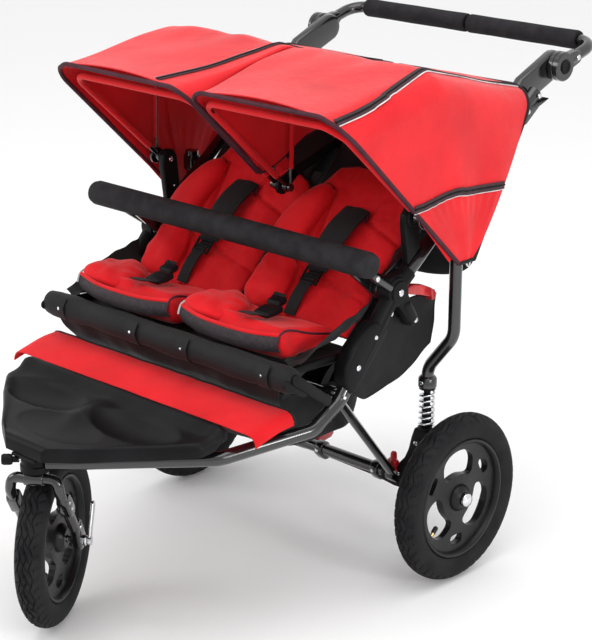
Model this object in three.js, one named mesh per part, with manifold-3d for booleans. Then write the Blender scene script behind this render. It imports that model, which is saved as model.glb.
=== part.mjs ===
// Side-by-side three-wheel jogging stroller: folding tube frame, two reclining seats, two hoods,
// sprung rear axle and a swivelling front wheel. Millimetres, +Y to the rear, +Z up. Left is -X
// and right is +X, as seen by someone in front of it. Lengths along Y are measured from the rear
// axle, and the whole stroller is then moved by originShift so that the origin lies under the
// middle of its box.
import * as THREE from 'three';
import { mergeVertices } from 'three/addons/utils/BufferGeometryUtils.js';
import Module from 'manifold-3d';

const wasm = await Module();
wasm.setup();

// ---- driving dimensions ----
const originShift = 149.834;            // rear axle to the middle of the overall length
const gap = 0.3;                       // between pieces that touch
const sides = [['left', -1], ['right', 1]];

const wheelRadius = 150;               // 12 1/2 inch pneumatic tyre
const tyreWidth = 46;
const rimRadius = 108;
const axleBore = 6.4;
const rearTrack = 328;                 // tyre centre from the middle plane

const tubeRadius = 12;
const frameX = 288;                    // main tubes, left and right
const foldJoint = { y: -130, z: 545, radius: 26 };
const handleSlope = Math.atan2(280, 368);
const handleLength = 460;              // tube, measured from the fold joint
const hub = { y: 312, z: 857, radius: 22 };
const gripBar = { y: 413, z: 885, x: 285, radius: 11 };

const legX = 318;                      // rear leg, outboard of the handle tube
const legTop = { y: -6, z: 639.5 };
const legFoot = { x: 262, y: -3, z: 336 };
const swingPivot = { y: -254, z: 393 };  // axle struts on the front tubes

const swivel = { y: -664, trail: 78, angle: 31 };
const bumper = { y: -235, z: 619, radius: 22, halfLength: 335 };
const crease = { y: -205, z: 468 };    // where the seat meets its backrest
const backAngle = 48;
const hoodPivot = { y: -95, z: 665 };
const hoodBowLength = 275;
const hoodBowAngle = 138.3;            // from +Y, in the side view

const stroller = new THREE.Group();
stroller.position.y = originShift;

// ---- finishes ----
const finishes = {
  redFabric: { color: 0xd8131f, roughness: 0.8, metalness: 0 },
  blackFabric: { color: 0x141416, roughness: 0.9, metalness: 0 },
  foam: { color: 0x2b2a2c, roughness: 0.95, metalness: 0 },
  blackTube: { color: 0x0b0b0c, roughness: 0.25, metalness: 0.4 },
  blackPlastic: { color: 0x17181a, roughness: 0.45, metalness: 0 },
  redPlastic: { color: 0xb5121b, roughness: 0.4, metalness: 0 },
  rubber: { color: 0x1c1c1e, roughness: 0.85, metalness: 0 },
  chrome: { color: 0xd8dadd, roughness: 0.15, metalness: 1 },
};

function addPart(name, geometry, finish, parent = stroller) {
  const mesh = new THREE.Mesh(geometry, new THREE.MeshStandardMaterial(finishes[finish]));
  mesh.name = name;
  parent.add(mesh);
  return mesh;
}

// ---- joining and cutting ----
function toSolid(geometry) {
  const bare = geometry.clone();
  bare.deleteAttribute('normal');
  bare.deleteAttribute('uv');
  const merged = mergeVertices(bare, 1e-4);
  return new wasm.Manifold(new wasm.Mesh({
    numProp: 3,
    vertProperties: new Float32Array(merged.attributes.position.array),
    triVerts: new Uint32Array(merged.index.array),
  }));
}

function toGeometry(solid) {
  const mesh = solid.getMesh();
  const geometry = new THREE.BufferGeometry();
  geometry.setAttribute('position', new THREE.BufferAttribute(mesh.vertProperties, 3));
  geometry.setIndex(new THREE.BufferAttribute(mesh.triVerts, 1));
  geometry.computeVertexNormals();
  return geometry;
}

const join = (...pieces) => toGeometry(pieces.map(toSolid).reduce((a, b) => a.add(b)));
const cut = (piece, ...tools) => toGeometry(tools.map(toSolid).reduce((a, b) => a.subtract(b), toSolid(piece)));

// ---- basic shapes ----
// A tube's centre line: straight runs between corners that are rounded with equal arcs.
class Route extends THREE.Curve {
  constructor(corners, bend) {
    super();
    const points = corners.map((corner) => new THREE.Vector3(...corner));
    this.stations = [{ point: points[0], tangent: points[1].clone().sub(points[0]).normalize() }];
    for (let i = 1; i < points.length - 1; i += 1) this.addBend(points[i - 1], points[i], points[i + 1], bend);
    const last = points.at(-1);
    this.stations.push({ point: last, tangent: last.clone().sub(points.at(-2)).normalize() });
    this.steps = this.stations.length - 1;
  }

  addBend(before, corner, after, bend) {
    const inward = corner.clone().sub(before).normalize();
    const outward = after.clone().sub(corner).normalize();
    const turn = inward.angleTo(outward);
    const setback = bend * Math.tan(turn / 2);
    const start = corner.clone().addScaledVector(inward, -setback);
    const normal = outward.clone().addScaledVector(inward, -inward.dot(outward)).normalize();
    const count = Math.max(2, Math.ceil(turn / 0.4));
    for (let k = 0; k <= count; k += 1) {
      const angle = (turn * k) / count;
      this.stations.push({
        point: start.clone().addScaledVector(inward, bend * Math.sin(angle))
          .addScaledVector(normal, bend * (1 - Math.cos(angle))),
        tangent: inward.clone().multiplyScalar(Math.cos(angle)).addScaledVector(normal, Math.sin(angle)),
      });
    }
  }

  station(u) { return this.stations[Math.round(u * this.steps)]; }

  getPointAt(u, target = new THREE.Vector3()) { return target.copy(this.station(u).point); }

  getTangentAt(u, target = new THREE.Vector3()) { return target.copy(this.station(u).tangent); }
}

function tube(corners, radius, bend = 30, sideCount = 10) {
  const route = new Route(corners, bend);
  const ring = new THREE.Shape(Array.from({ length: sideCount }, (_, i) => {
    const angle = (2 * Math.PI * i) / sideCount;
    return new THREE.Vector2(radius * Math.cos(angle), radius * Math.sin(angle));
  }));
  return new THREE.ExtrudeGeometry(ring, { steps: route.steps, extrudePath: route, bevelEnabled: false });
}

// A cylinder whose axis runs along X from one place to another.
function cylinderX(radius, xStart, xEnd, y, z, sideCount = 20) {
  const geometry = new THREE.CylinderGeometry(radius, radius, Math.abs(xEnd - xStart), sideCount);
  return geometry.rotateZ(Math.PI / 2).translate((xStart + xEnd) / 2, y, z);
}

// A ring or other turned piece about X: the profile is [radius, x] and closes on itself.
function turnedX(profile, y, z, sideCount = 32) {
  const closed = [...profile, profile[0]].map(([radius, x]) => new THREE.Vector2(radius, x));
  return new THREE.LatheGeometry(closed, sideCount).rotateZ(-Math.PI / 2).translate(0, y, z);
}

// A plate in the side view: outline of [y, z] points, thick from one x to another.
function plateX(outline, xStart, xEnd) {
  const shape = new THREE.Shape(outline.map(([y, z]) => new THREE.Vector2(y, z)));
  const depth = Math.abs(xEnd - xStart);
  const turn = new THREE.Matrix4().makeBasis(
    new THREE.Vector3(0, 1, 0), new THREE.Vector3(0, 0, 1), new THREE.Vector3(1, 0, 0));
  return new THREE.ExtrudeGeometry(shape, { depth, bevelEnabled: false, curveSegments: 8 })
    .applyMatrix4(turn).translate(Math.min(xStart, xEnd), 0, 0);
}

// A flat plate seen from above: outline of [x, y] points.
function plateZ(outline, zStart, zEnd) {
  const shape = new THREE.Shape(outline.map(([x, y]) => new THREE.Vector2(x, y)));
  return new THREE.ExtrudeGeometry(shape, { depth: zEnd - zStart, bevelEnabled: false }).translate(0, 0, zStart);
}

// An arm in the side view that tapers from one round end to the other.
function arm(from, fromRadius, to, toRadius, steps = 6) {
  const heading = Math.atan2(to[1] - from[1], to[0] - from[0]);
  const end = (centre, radius, start) => Array.from({ length: steps + 1 }, (_, i) => {
    const angle = heading + start + (Math.PI * i) / steps;
    return [centre[0] + radius * Math.cos(angle), centre[1] + radius * Math.sin(angle)];
  });
  return [...end(to, toRadius, -Math.PI / 2), ...end(from, fromRadius, Math.PI / 2)];
}

const direction = (angle) => [Math.cos(angle), Math.sin(angle)];
const along = (from, angle, distance) => [from.y + distance * Math.cos(angle), from.z + distance * Math.sin(angle)];

// ---- wheels ----
const tyreProfile = [[-18, 0.3], [-21, 4], [-23, 19], [-20, 32], [-11, 40], [0, 42], [11, 40], [20, 32],
  [23, 19], [21, 4], [18, 0.3]].map(([x, height]) => [rimRadius + height, x * (tyreWidth / 46)]);
const rimProfile = [[rimRadius, -17], [rimRadius, 17], [100, 17], [97, 6], [97, -6], [100, -17]];
const hubProfile = [[axleBore, -27], [16, -27], [24, -12], [24, 12], [17, 23], [axleBore, 23]];

function spokeDisc() {
  const disc = new THREE.Shape().absarc(0, 0, 99.5, 0, 2 * Math.PI);
  disc.holes.push(new THREE.Path().absarc(0, 0, 20, 0, 2 * Math.PI, true));
  for (let k = 0; k < 3; k += 1) {
    const middle = (2 * Math.PI * k) / 3 + Math.PI / 2;
    const window = new THREE.Path();
    window.absarc(0, 0, 86, middle - 0.62, middle + 0.62, false);
    window.absarc(0, 0, 40, middle + 0.5, middle - 0.5, true);
    window.closePath();
    disc.holes.push(window);
  }
  const depth = 14;
  return new THREE.ExtrudeGeometry(disc, { depth, bevelEnabled: false, curveSegments: 16 })
    .translate(0, 0, -depth / 2).rotateY(Math.PI / 2);
}

const rimShape = join(turnedX(rimProfile, 0, 0), turnedX(hubProfile, 0, 0, 20), spokeDisc());

function addWheel(name, x, y, facing, parent = stroller) {
  const tyre = addPart(`${name}_tyre`, turnedX(tyreProfile, 0, 0), 'rubber', parent);
  const rim = addPart(`${name}_rim`, rimShape.clone(), 'blackPlastic', parent);
  [tyre, rim].forEach((mesh) => mesh.position.set(x, y, wheelRadius));
  if (facing < 0) rim.rotation.z = Math.PI;
}

sides.forEach(([side, s]) => addWheel(`rear_wheel_${side}`, s * rearTrack, 0, s));

// ---- front swivel, fork and wheel, turned as the stroller was last pushed ----
const castor = new THREE.Group();
castor.position.set(0, swivel.y, 0);
castor.rotation.z = THREE.MathUtils.degToRad(swivel.angle);
stroller.add(castor);
addWheel('front_wheel', 0, swivel.trail, 1, castor);

const forkX = 42;
const forkTopZ = 291;
const forkBow = tube([[-forkX, swivel.trail - 12, 172], [-forkX, -8, forkTopZ], [forkX, -8, forkTopZ],
  [forkX, swivel.trail - 12, 172]], 9, 26);
const stem = new THREE.CylinderGeometry(10, 10, 40, 16).rotateX(Math.PI / 2).translate(0, 0, 309);
const dropouts = sides.map(([, s]) => cut(
  plateX(arm([swivel.trail, wheelRadius], 15, [swivel.trail - 13, 176], 13), s * 34, s * 50),
  cylinderX(5.8, s * 30, s * 54, swivel.trail, wheelRadius, 16)));
addPart('front_fork', join(forkBow, stem, ...dropouts), 'blackTube', castor);
addPart('front_axle', join(cylinderX(5, -54, 56, swivel.trail, wheelRadius, 16),
  cylinderX(10, -58, -50.5, swivel.trail, wheelRadius, 12)), 'chrome', castor);
addPart('front_axle_lever', plateX(arm([swivel.trail, wheelRadius], 4.2, [swivel.trail + 22, 204], 6), 58.6, 64),
  'chrome', castor);

addPart('fork_housing', new THREE.LatheGeometry([[0, 334], [25, 334], [25, 302.5], [10.5, 302.5],
  [10.5, 331], [0, 331]].reverse().map(([r, z]) => new THREE.Vector2(r, z)), 24)
  .rotateX(Math.PI / 2).translate(0, swivel.y, 0), 'blackPlastic');
addPart('swivel_lock_knob', cylinderX(9, -54, -25.6, 0, 321, 12).rotateZ(Math.PI / 4)
  .translate(0, swivel.y, 0), 'blackPlastic');

// ---- front tubes, footrest and seat frame ----
sides.forEach(([side, s]) => {
  const heading = Math.atan2(-115, -96);
  const start = along(foldJoint, heading, foldJoint.radius + 1);
  addPart(`front_tube_${side}`, tube([[s * frameX, ...start], [s * frameX, -262, 387],
    [s * frameX, -323, 354], [s * 232, -480, 334], [s * 28, swivel.y + 12, 318]], tubeRadius, 40), 'blackTube');
});

const footrestOutline = [[-247, -466], [-240, -528], [-150, -610], [-44, -690], [44, -690], [150, -610],
  [240, -528], [247, -466]];
const footrest = addPart('footrest_plate', plateZ(footrestOutline.map(([x, y]) => [x, y + 466]), -20, 0),
  'blackPlastic');
footrest.position.set(0, -466, 379);
footrest.rotation.x = THREE.MathUtils.degToRad(5.5);
addPart('footrest_fabric', plateX([[-374, 392], [-462, 375], [-464, 382], [-376, 400]], -296, 296), 'redFabric');

addPart('seat_frame', join(cylinderX(15, -295, 295, -376, 456),
  ...sides.map(([, s]) => tube([[s * 264, -370, 456], [s * 264, -196, 450]], 8))), 'blackTube');
addPart('seat_hammock', plateX([[-358, 450], [-200, 447], [-200, 455], [-358, 461]], -254, 254), 'blackFabric');

const seatProfile = [[-222, 463], [-222, 479], [-290, 497], [-345, 522], [-362, 518], [-365, 500],
  [-352, 474], [-340, 464]];
sides.forEach(([side, s]) => {
  addPart(`seat_pad_${side}`, plateX(seatProfile, s * 8, s * 248), 'redFabric');
});

const basketOutside = plateX([[-330, 380], [-300, 280], [-90, 280], [-70, 380]], -205, 205);
const basketInside = plateX([[-325, 381], [-296, 284], [-94, 284], [-75, 381]], -201, 201);
addPart('under_seat_basket', cut(basketOutside, basketInside), 'blackFabric');

// ---- fold joints ----
sides.forEach(([side, s]) => {
  addPart(`fold_joint_${side}`, cylinderX(foldJoint.radius, s * 272, s * 304, foldJoint.y, foldJoint.z, 24),
    'blackPlastic');
  addPart(`fold_lever_${side}`, plateX(arm([-94, 539], 8, [-38, 522], 6, 4), s * 280, s * 296), 'redPlastic');
});

// ---- handle frame ----
// Each tube carries a cheek inside the fold joint, a stud for the rear leg, and a crimped socket
// that ends in the round hub that the handlebar turns on.
const handleTop = along(foldJoint, handleSlope, handleLength);
const cheek = arm([foldJoint.y, foldJoint.z], 24, along(foldJoint, handleSlope, 78), 13);
const cheekWeb = arm(along(foldJoint, handleSlope, 42), 9, along(foldJoint, handleSlope, 74), 9);
const across = handleSlope + Math.PI / 2;
const socketOutline = [14, -14].map((offset) => [
  handleTop[0] - 12 * Math.cos(handleSlope) + offset * Math.cos(across),
  handleTop[1] - 12 * Math.sin(handleSlope) + offset * Math.sin(across),
]).concat(Array.from({ length: 11 }, (_, i) => along(hub, -1.25 + (i * 3.35) / 10, hub.radius)));
sides.forEach(([side, s]) => {
  const start = along(foldJoint, handleSlope, foldJoint.radius + 1);
  addPart(`handle_tube_${side}`, join(
    tube([[s * frameX, ...start], [s * frameX, ...handleTop]], tubeRadius, 30, 12),
    plateX(cheek, s * 262, s * 271.6), plateX(cheekWeb, s * 268, s * 284),
    plateX(socketOutline, s * 256, s * 274), plateX(socketOutline.slice(0, 2).concat([
      [handleTop[0] + 8, handleTop[1] - 6], [handleTop[0] - 8, handleTop[1] + 16]]), s * 270, s * 290),
    cylinderX(8, s * 290, s * 306.6, legTop.y, legTop.z, 12)), 'blackTube');
});
addPart('hood_cross_tube', cylinderX(9, -275, 275, 150, 756, 12), 'blackTube');
addPart('hood_centre_arm', plateX(arm([130, 746], 9, [hoodPivot.y, hoodPivot.z], 14, 4), -4, 4), 'blackPlastic');
sides.forEach(([side, s]) => addPart(`hood_bracket_${side}`, plateX([[-103, 584], [-71, 609],
  ...arm([hoodPivot.y, hoodPivot.z - 10], 16, [hoodPivot.y, hoodPivot.z], 17, 6).slice(0, 7)],
s * 281, s * 295), 'blackPlastic'));

const hubRing = () => turnedX([[0, 274.4], [hub.radius, 274.4], [hub.radius, 296], [13.4, 296], [13.4, 289],
  [0, 289]], hub.y, hub.z, 20);
const barRise = Math.atan2(gripBar.z - hub.z, gripBar.y - hub.y);
const barStart = along(hub, barRise, hub.radius - 6);
const handleBow = tube([[-gripBar.x, ...barStart], [-gripBar.x, gripBar.y, gripBar.z],
  [gripBar.x, gripBar.y, gripBar.z], [gripBar.x, ...barStart]], gripBar.radius, 28, 12);
addPart('handlebar', join(handleBow, ...sides.map(([, s]) => s > 0 ? hubRing()
  : hubRing().rotateZ(Math.PI).translate(0, 2 * hub.y, 0))), 'blackTube');
sides.forEach(([side, s]) => addPart(`handlebar_grip_${side}`, turnedX([[11.4, 5], [17, 5], [17, 250],
  [11.4, 250]], 0, 0, 16).rotateZ(s > 0 ? 0 : Math.PI).translate(0, gripBar.y, gripBar.z), 'foam'));
sides.forEach(([side, s]) => addPart(`hub_button_${side}`, cylinderX(12.8, s * 292.6, s * 299, hub.y, hub.z, 16),
  'blackPlastic'));

// ---- rear legs ----
sides.forEach(([side, s]) => addPart(`rear_leg_${side}`, join(
  tube([[s * legFoot.x, legFoot.y, legFoot.z + 4], [s * legFoot.x, legFoot.y, 372],
    [s * legX, -5, 442], [s * legX, legTop.y, legTop.z + 12]], 11, 30),
  new THREE.CylinderGeometry(16, 16, 16, 16).rotateX(Math.PI / 2)
    .translate(s * legFoot.x, legFoot.y, legFoot.z + 8)), 'blackTube'));

// ---- bumper bar ----
const bumperEnd = [[0, 0], [14, 1.5], [20, 7], [bumper.radius, 16]];
const bumperProfile = [
  ...bumperEnd.map(([r, inset]) => [r, bumper.halfLength - inset]),
  ...[...bumperEnd].reverse().map(([r, inset]) => [r, inset - bumper.halfLength]),
];
const bumperHeading = Math.atan2(bumper.z - foldJoint.z, bumper.y - foldJoint.y);
const bumperReach = Math.hypot(bumper.z - foldJoint.z, bumper.y - foldJoint.y) - 9;
const bumperArms = (clearance) => sides.map(([, s]) => plateX(arm([foldJoint.y, foldJoint.z], 20,
  along(foldJoint, bumperHeading, bumperReach), 9), s * (252 - clearance), s * (261.6 + clearance)));
const bumperCore = (clearance) => cylinderX(10 + clearance, -262 - clearance, 262 + clearance,
  bumper.y, bumper.z, 16);
addPart('bumper_frame', join(bumperCore(0), ...bumperArms(0)), 'blackTube');
addPart('bumper_foam', cut(turnedX(bumperProfile.slice().reverse(), bumper.y, bumper.z, 20),
  bumperCore(gap), ...bumperArms(gap)), 'foam');

// ---- rear axle assembly ----
addPart('strut_pivot_rod', cylinderX(6, -275.6, 275.6, swingPivot.y, swingPivot.z, 12), 'chrome');
addPart('rear_axle', cylinderX(11, -175.6, 175.6, 0, wheelRadius, 16), 'blackTube');
const gussetOutline = [[176, 138], [176, 166], [226, 204], [244, 258], [280, 258], [282, 220], [274, 138]];
sides.forEach(([side, s]) => {
  const plate = new THREE.ExtrudeGeometry(
    new THREE.Shape(gussetOutline.map(([x, z]) => new THREE.Vector2(x, z))), { depth: 26, bevelEnabled: false })
    .rotateX(Math.PI / 2).translate(0, 13, 0);
  const casting = join(plate, cylinderX(6, 270, 352, 0, wheelRadius, 16));
  addPart(`axle_gusset_${side}`, s > 0 ? casting : casting.rotateZ(Math.PI), 'blackPlastic');
  const eye = join(tube([[s * 200, -22.5, 160], [s * 262, swingPivot.y, swingPivot.z]], 8),
    cylinderX(11, s * 254, s * 270, swingPivot.y, swingPivot.z, 16));
  addPart(`axle_strut_${side}`, cut(eye, cylinderX(6.3, s * 250, s * 274, swingPivot.y, swingPivot.z, 16)),
    'blackTube');
  addPart(`suspension_spring_${side}`, new THREE.CylinderGeometry(15, 15, legFoot.z - 258 - 2 * gap, 16)
    .rotateX(Math.PI / 2).translate(s * legFoot.x, legFoot.y, (legFoot.z + 258) / 2), 'chrome');
  addPart(`wheel_release_${side}`, cylinderX(7, s * 196, s * 214, -22, 184, 12), 'redPlastic');
});
addPart('brake_pedal', plateX([[13, 158], [48, 166], [56, 161], [50, 152], [13, 143]], -82, -6), 'redPlastic');

// ---- backrests: they turn about the crease ----
sides.forEach(([side, s]) => {
  const seat = new THREE.Group();
  seat.position.set(0, crease.y, crease.z);
  seat.rotation.x = THREE.MathUtils.degToRad(backAngle);
  stroller.add(seat);
  addPart(`backrest_${side}`, plateX([[10, -36], [12, -4], [60, -2], [380, -8], [394, -20], [394, -48],
    [24, -48]], s * 14, s * 248), 'redFabric', seat);
});

// ---- hoods: a front bow, and a middle bow on the ratchet disc beside the front bow's eye ----
const bowAngle = THREE.MathUtils.degToRad(hoodBowAngle);
const middleBowAngle = THREE.MathUtils.degToRad(89);
const middleBowLength = 226;
sides.forEach(([side, s]) => {
  const middle = along(hoodPivot, middleBowAngle, middleBowLength);
  const pivot = [hoodPivot.y, hoodPivot.z];
  addPart(`hood_ratchet_${side}`, join(
    tube([[s * 20, ...pivot], [s * 20, ...middle], [s * 319, ...middle], [s * 319, ...pivot]], 2.8, 40, 8),
    cylinderX(7, s * 16.6, s * 23.4, ...pivot, 16),
    cylinderX(15, s * 316.4, s * 322, ...pivot, 20)), 'blackTube');
  const start = along(hoodPivot, bowAngle, 0);
  const end = along(hoodPivot, bowAngle, hoodBowLength);
  addPart(`hood_bow_${side}`, join(
    tube([[s * 12, ...start], [s * 12, ...end], [s * 312, ...end], [s * 312, ...start]], 4, 40, 8),
    cylinderX(9, s * 4.6, s * 16, hoodPivot.y, hoodPivot.z, 16),
    cylinderX(9, s * 301.4, s * 316, hoodPivot.y, hoodPivot.z, 16)), 'blackTube');
});

// The hood cloth: a C-shaped section (x, share of the height) swept from the front edge to the
// rear edge, which come together at the low corner beside the seat.
const hoodLow = 580;
const hoodTop = (v) => 866 + 42 * Math.sin(Math.min(v / 0.48, 1) * Math.PI / 2) - 70 * Math.max(0, v - 0.48) / 0.52;
const hoodFront = (h) => -26 - 300 * h;
const hoodRear = (h) => 14 + 190 * h;

function hoodCloth() {
  const outer = { inside: 5.5, outside: 337, low: 0, innerLow: 0.42, top: 1, corner: 0.14, width: 42 };
  const inner = { inside: 8, outside: 334, top: 0.988, corner: 0.135, width: 39 };
  const arch = (edge) => {
    const corner = (x, sign) => [0, 1, 2, 3].map((i) => {
      const angle = (i * Math.PI) / 6;
      return [x - sign * edge.width * (1 - Math.cos(angle)), edge.top - edge.corner * (1 - Math.sin(angle))];
    });
    return [...corner(edge.outside, 1), ...corner(edge.inside, -1).reverse()];
  };
  const section = [[outer.outside, outer.low], ...arch(outer), [outer.inside, outer.innerLow],
    [inner.inside, outer.innerLow], ...arch(inner).reverse(), [inner.outside, outer.low]];
  const cloth = new THREE.ExtrudeGeometry(
    new THREE.Shape(section.map(([x, h]) => new THREE.Vector2(x, h * 300))),
    { depth: 1, steps: 6, bevelEnabled: false });
  const place = cloth.attributes.position;
  for (let i = 0; i < place.count; i += 1) {
    const x = place.getX(i);
    const v = place.getZ(i);
    const share = place.getY(i) / 300;
    const h = x < 9 && share < 0.5 ? share + 0.38 * v * v : share;
    const taper = x > 170 ? 32 * v * v * h * h : 0;
    place.setXYZ(i, x - taper, hoodFront(h) + v * (hoodRear(h) - hoodFront(h)),
      hoodLow + h * (hoodTop(v) - hoodLow));
  }
  return cloth;
}

// Turns a mirrored shape's triangles round, so that they face out again.
function faceOut(geometry) {
  const corners = geometry.attributes.position.array;
  for (let i = 0; i < corners.length; i += 9) {
    for (let k = 0; k < 3; k += 1) [corners[i + k], corners[i + 3 + k]] = [corners[i + 3 + k], corners[i + k]];
  }
  geometry.computeVertexNormals();
  return geometry;
}

addPart('canopy_left', hoodCloth().scale(-1, 1, 1), 'redFabric');
addPart('canopy_right', faceOut(hoodCloth()), 'redFabric');

addPart('rear_storage_bag', plateX([[96, 498], [118, 492], [122, 690], [92, 690]], -262, 262), 'blackFabric');

const group = stroller;
export default group;
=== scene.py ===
import math

import bmesh
import bpy
from mathutils import Matrix, Vector, noise


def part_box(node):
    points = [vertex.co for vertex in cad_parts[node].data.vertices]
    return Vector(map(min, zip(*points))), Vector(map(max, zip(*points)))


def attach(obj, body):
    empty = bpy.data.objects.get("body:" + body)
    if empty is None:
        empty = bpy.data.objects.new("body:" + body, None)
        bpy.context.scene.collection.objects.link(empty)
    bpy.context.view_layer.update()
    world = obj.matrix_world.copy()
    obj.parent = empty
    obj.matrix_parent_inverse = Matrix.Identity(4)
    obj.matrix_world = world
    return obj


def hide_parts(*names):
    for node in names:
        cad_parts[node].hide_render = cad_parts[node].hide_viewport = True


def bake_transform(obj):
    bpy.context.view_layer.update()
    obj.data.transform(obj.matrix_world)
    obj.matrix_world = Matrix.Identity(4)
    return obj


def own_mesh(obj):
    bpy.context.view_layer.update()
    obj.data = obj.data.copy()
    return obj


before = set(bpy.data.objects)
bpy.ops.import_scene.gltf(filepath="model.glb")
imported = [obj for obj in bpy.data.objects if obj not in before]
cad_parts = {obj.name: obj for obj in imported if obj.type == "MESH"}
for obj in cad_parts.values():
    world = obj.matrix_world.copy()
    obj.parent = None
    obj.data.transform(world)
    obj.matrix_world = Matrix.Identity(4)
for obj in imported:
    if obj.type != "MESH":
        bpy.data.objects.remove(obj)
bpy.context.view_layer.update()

# ---- camera ----
# A long lens from in front and to the right of the stroller, a little above its handlebar.
rear_axle_y = sum(corner.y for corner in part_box("rear_axle")) / 2
camera = bpy.data.objects.new("camera", bpy.data.cameras.new("camera"))
bpy.context.scene.collection.objects.link(camera)
camera.location = (2.2932, rear_axle_y - 2.5159, 1.5384)
looks_at = Vector((0, rear_axle_y - 0.170, 0.480))
camera.rotation_mode = "QUATERNION"
camera.rotation_quaternion = (looks_at - camera.location).to_track_quat("-Z", "Y")
camera.data.sensor_width = 36
camera.data.lens = 111.4
camera.data.shift_x, camera.data.shift_y = 0.069, -0.037
camera.data.clip_start, camera.data.clip_end = 0.1, 60
bpy.context.scene.camera = camera

# ---- floor and lights ----
# A plain pale studio floor under a white sky. One large soft lamp hangs overhead, one stands in
# front on the left, and a soft one and a narrow strip stand low on the right.
floor_mesh = bmesh.new()
bmesh.ops.create_grid(floor_mesh, x_segments=1, y_segments=1, size=30)
floor_data = bpy.data.meshes.new("floor")
floor_mesh.to_mesh(floor_data)
floor_mesh.free()
floor = bpy.data.objects.new("floor", floor_data)
bpy.context.scene.collection.objects.link(floor)
floor_paint = bpy.data.materials.new("floor_paint")
floor_paint.use_nodes = True
floor_paint.node_tree.nodes["Principled BSDF"].inputs["Base Color"].default_value = (0.9, 0.9, 0.9, 1)
floor_paint.node_tree.nodes["Principled BSDF"].inputs["Roughness"].default_value = 0.7
floor_data.materials.append(floor_paint)

bpy.context.scene.view_settings.view_transform = "Standard"
bpy.context.scene.world = bpy.data.worlds.new("studio")
bpy.context.scene.world.use_nodes = True
sky = bpy.context.scene.world.node_tree.nodes["Background"]
sky.inputs["Color"].default_value = (1, 1, 1, 1)
sky.inputs["Strength"].default_value = 0.98
for name, spot, size, watts in [("overhead", (0.3, -0.6, 2.9), 2.6, 40),
                                ("left_front", (-2.2, -2.4, 2.0), 1.4, 24),
                                ("right_strip", (2.6, -0.2, 1.1), 0.35, 9), ("right_low", (2.8, -0.6, 1.3), 1.2, 14)]:
    lamp = bpy.data.objects.new(name, bpy.data.lights.new(name, "AREA"))
    lamp.data.energy, lamp.data.size = watts, size
    lamp.location = spot
    lamp.rotation_mode = "QUATERNION"
    lamp.rotation_quaternion = (Vector((0, 0, 0.5)) - lamp.location).to_track_quat("-Z", "Y")
    bpy.context.scene.collection.objects.link(lamp)

# ---- tyres ----
# Black rubber air tyres, 12 1/2 inch, with a raised tread: wavy grooves run round the crown and
# short cuts cross the shoulders. Lengths are in millimetres from the rear axle, turned to metres
# as each piece is added.
from_axle = Matrix.Translation((0, rear_axle_y, 0)) @ Matrix.Scale(0.001, 4)
both_sides = (("left", -1), ("right", 1))


def new_material(name):
    material = bpy.data.materials.new(name)
    material.use_nodes = True
    nodes = material.node_tree.nodes
    return material, nodes, material.node_tree.links, nodes["Principled BSDF"]


def cloudy(nodes, links, scale, detail=3):
    """Noise on the piece's own metres."""
    texture = nodes.new("ShaderNodeTexNoise")
    texture.inputs["Scale"].default_value = scale
    texture.inputs["Detail"].default_value = detail
    links.new(nodes.new("ShaderNodeTexCoord").outputs["Object"], texture.inputs["Vector"])
    return texture.outputs["Fac"]


def colour_between(nodes, links, share, deep, light, span=(0.35, 0.65)):
    ramp = nodes.new("ShaderNodeValToRGB")
    ramp.color_ramp.elements[0].position, ramp.color_ramp.elements[1].position = span
    ramp.color_ramp.elements[0].color = (*deep, 1)
    ramp.color_ramp.elements[1].color = (*light, 1)
    links.new(share, ramp.inputs["Fac"])
    return ramp.outputs["Color"]


def finish(name, deep, light, roughness, patches=14, grain=900, depth=0.0002, **sockets):
    """A moulded, painted or plated finish: cloudy colour and gloss, and a fine grain."""
    material, nodes, links, shader = new_material(name)
    patch = cloudy(nodes, links, patches)
    links.new(colour_between(nodes, links, patch, deep, light), shader.inputs["Base Color"])
    gloss = nodes.new("ShaderNodeMapRange")
    gloss.inputs["To Min"].default_value, gloss.inputs["To Max"].default_value = roughness
    links.new(patch, gloss.inputs["Value"])
    links.new(gloss.outputs["Result"], shader.inputs["Roughness"])
    bump = nodes.new("ShaderNodeBump")
    bump.inputs["Distance"].default_value = depth
    bump.inputs["Strength"].default_value = 0.6
    links.new(cloudy(nodes, links, grain), bump.inputs["Height"])
    links.new(bump.outputs["Normal"], shader.inputs["Normal"])
    for socket, value in sockets.items():
        shader.inputs[socket.replace("_", " ")].default_value = value
    return material


def add_piece(name, mesh, materials, body, slot, stands_for=(), crease=38):
    """Puts a bmesh in millimetres into the scene as a finished piece that rides on a body."""
    bmesh.ops.transform(mesh, matrix=from_axle, verts=mesh.verts)
    data = bpy.data.meshes.new(name)
    mesh.to_mesh(data)
    mesh.free()
    data.shade_smooth()
    data.set_sharp_from_angle(angle=math.radians(crease))
    for material in materials if isinstance(materials, (list, tuple)) else [materials]:
        data.materials.append(material)
    piece = bpy.data.objects.new(name, data)
    bpy.context.scene.collection.objects.link(piece)
    if body:
        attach(piece, body)
    if stands_for:
        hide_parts(*([stands_for] if isinstance(stands_for, str) else stands_for))
    return piece


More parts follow.
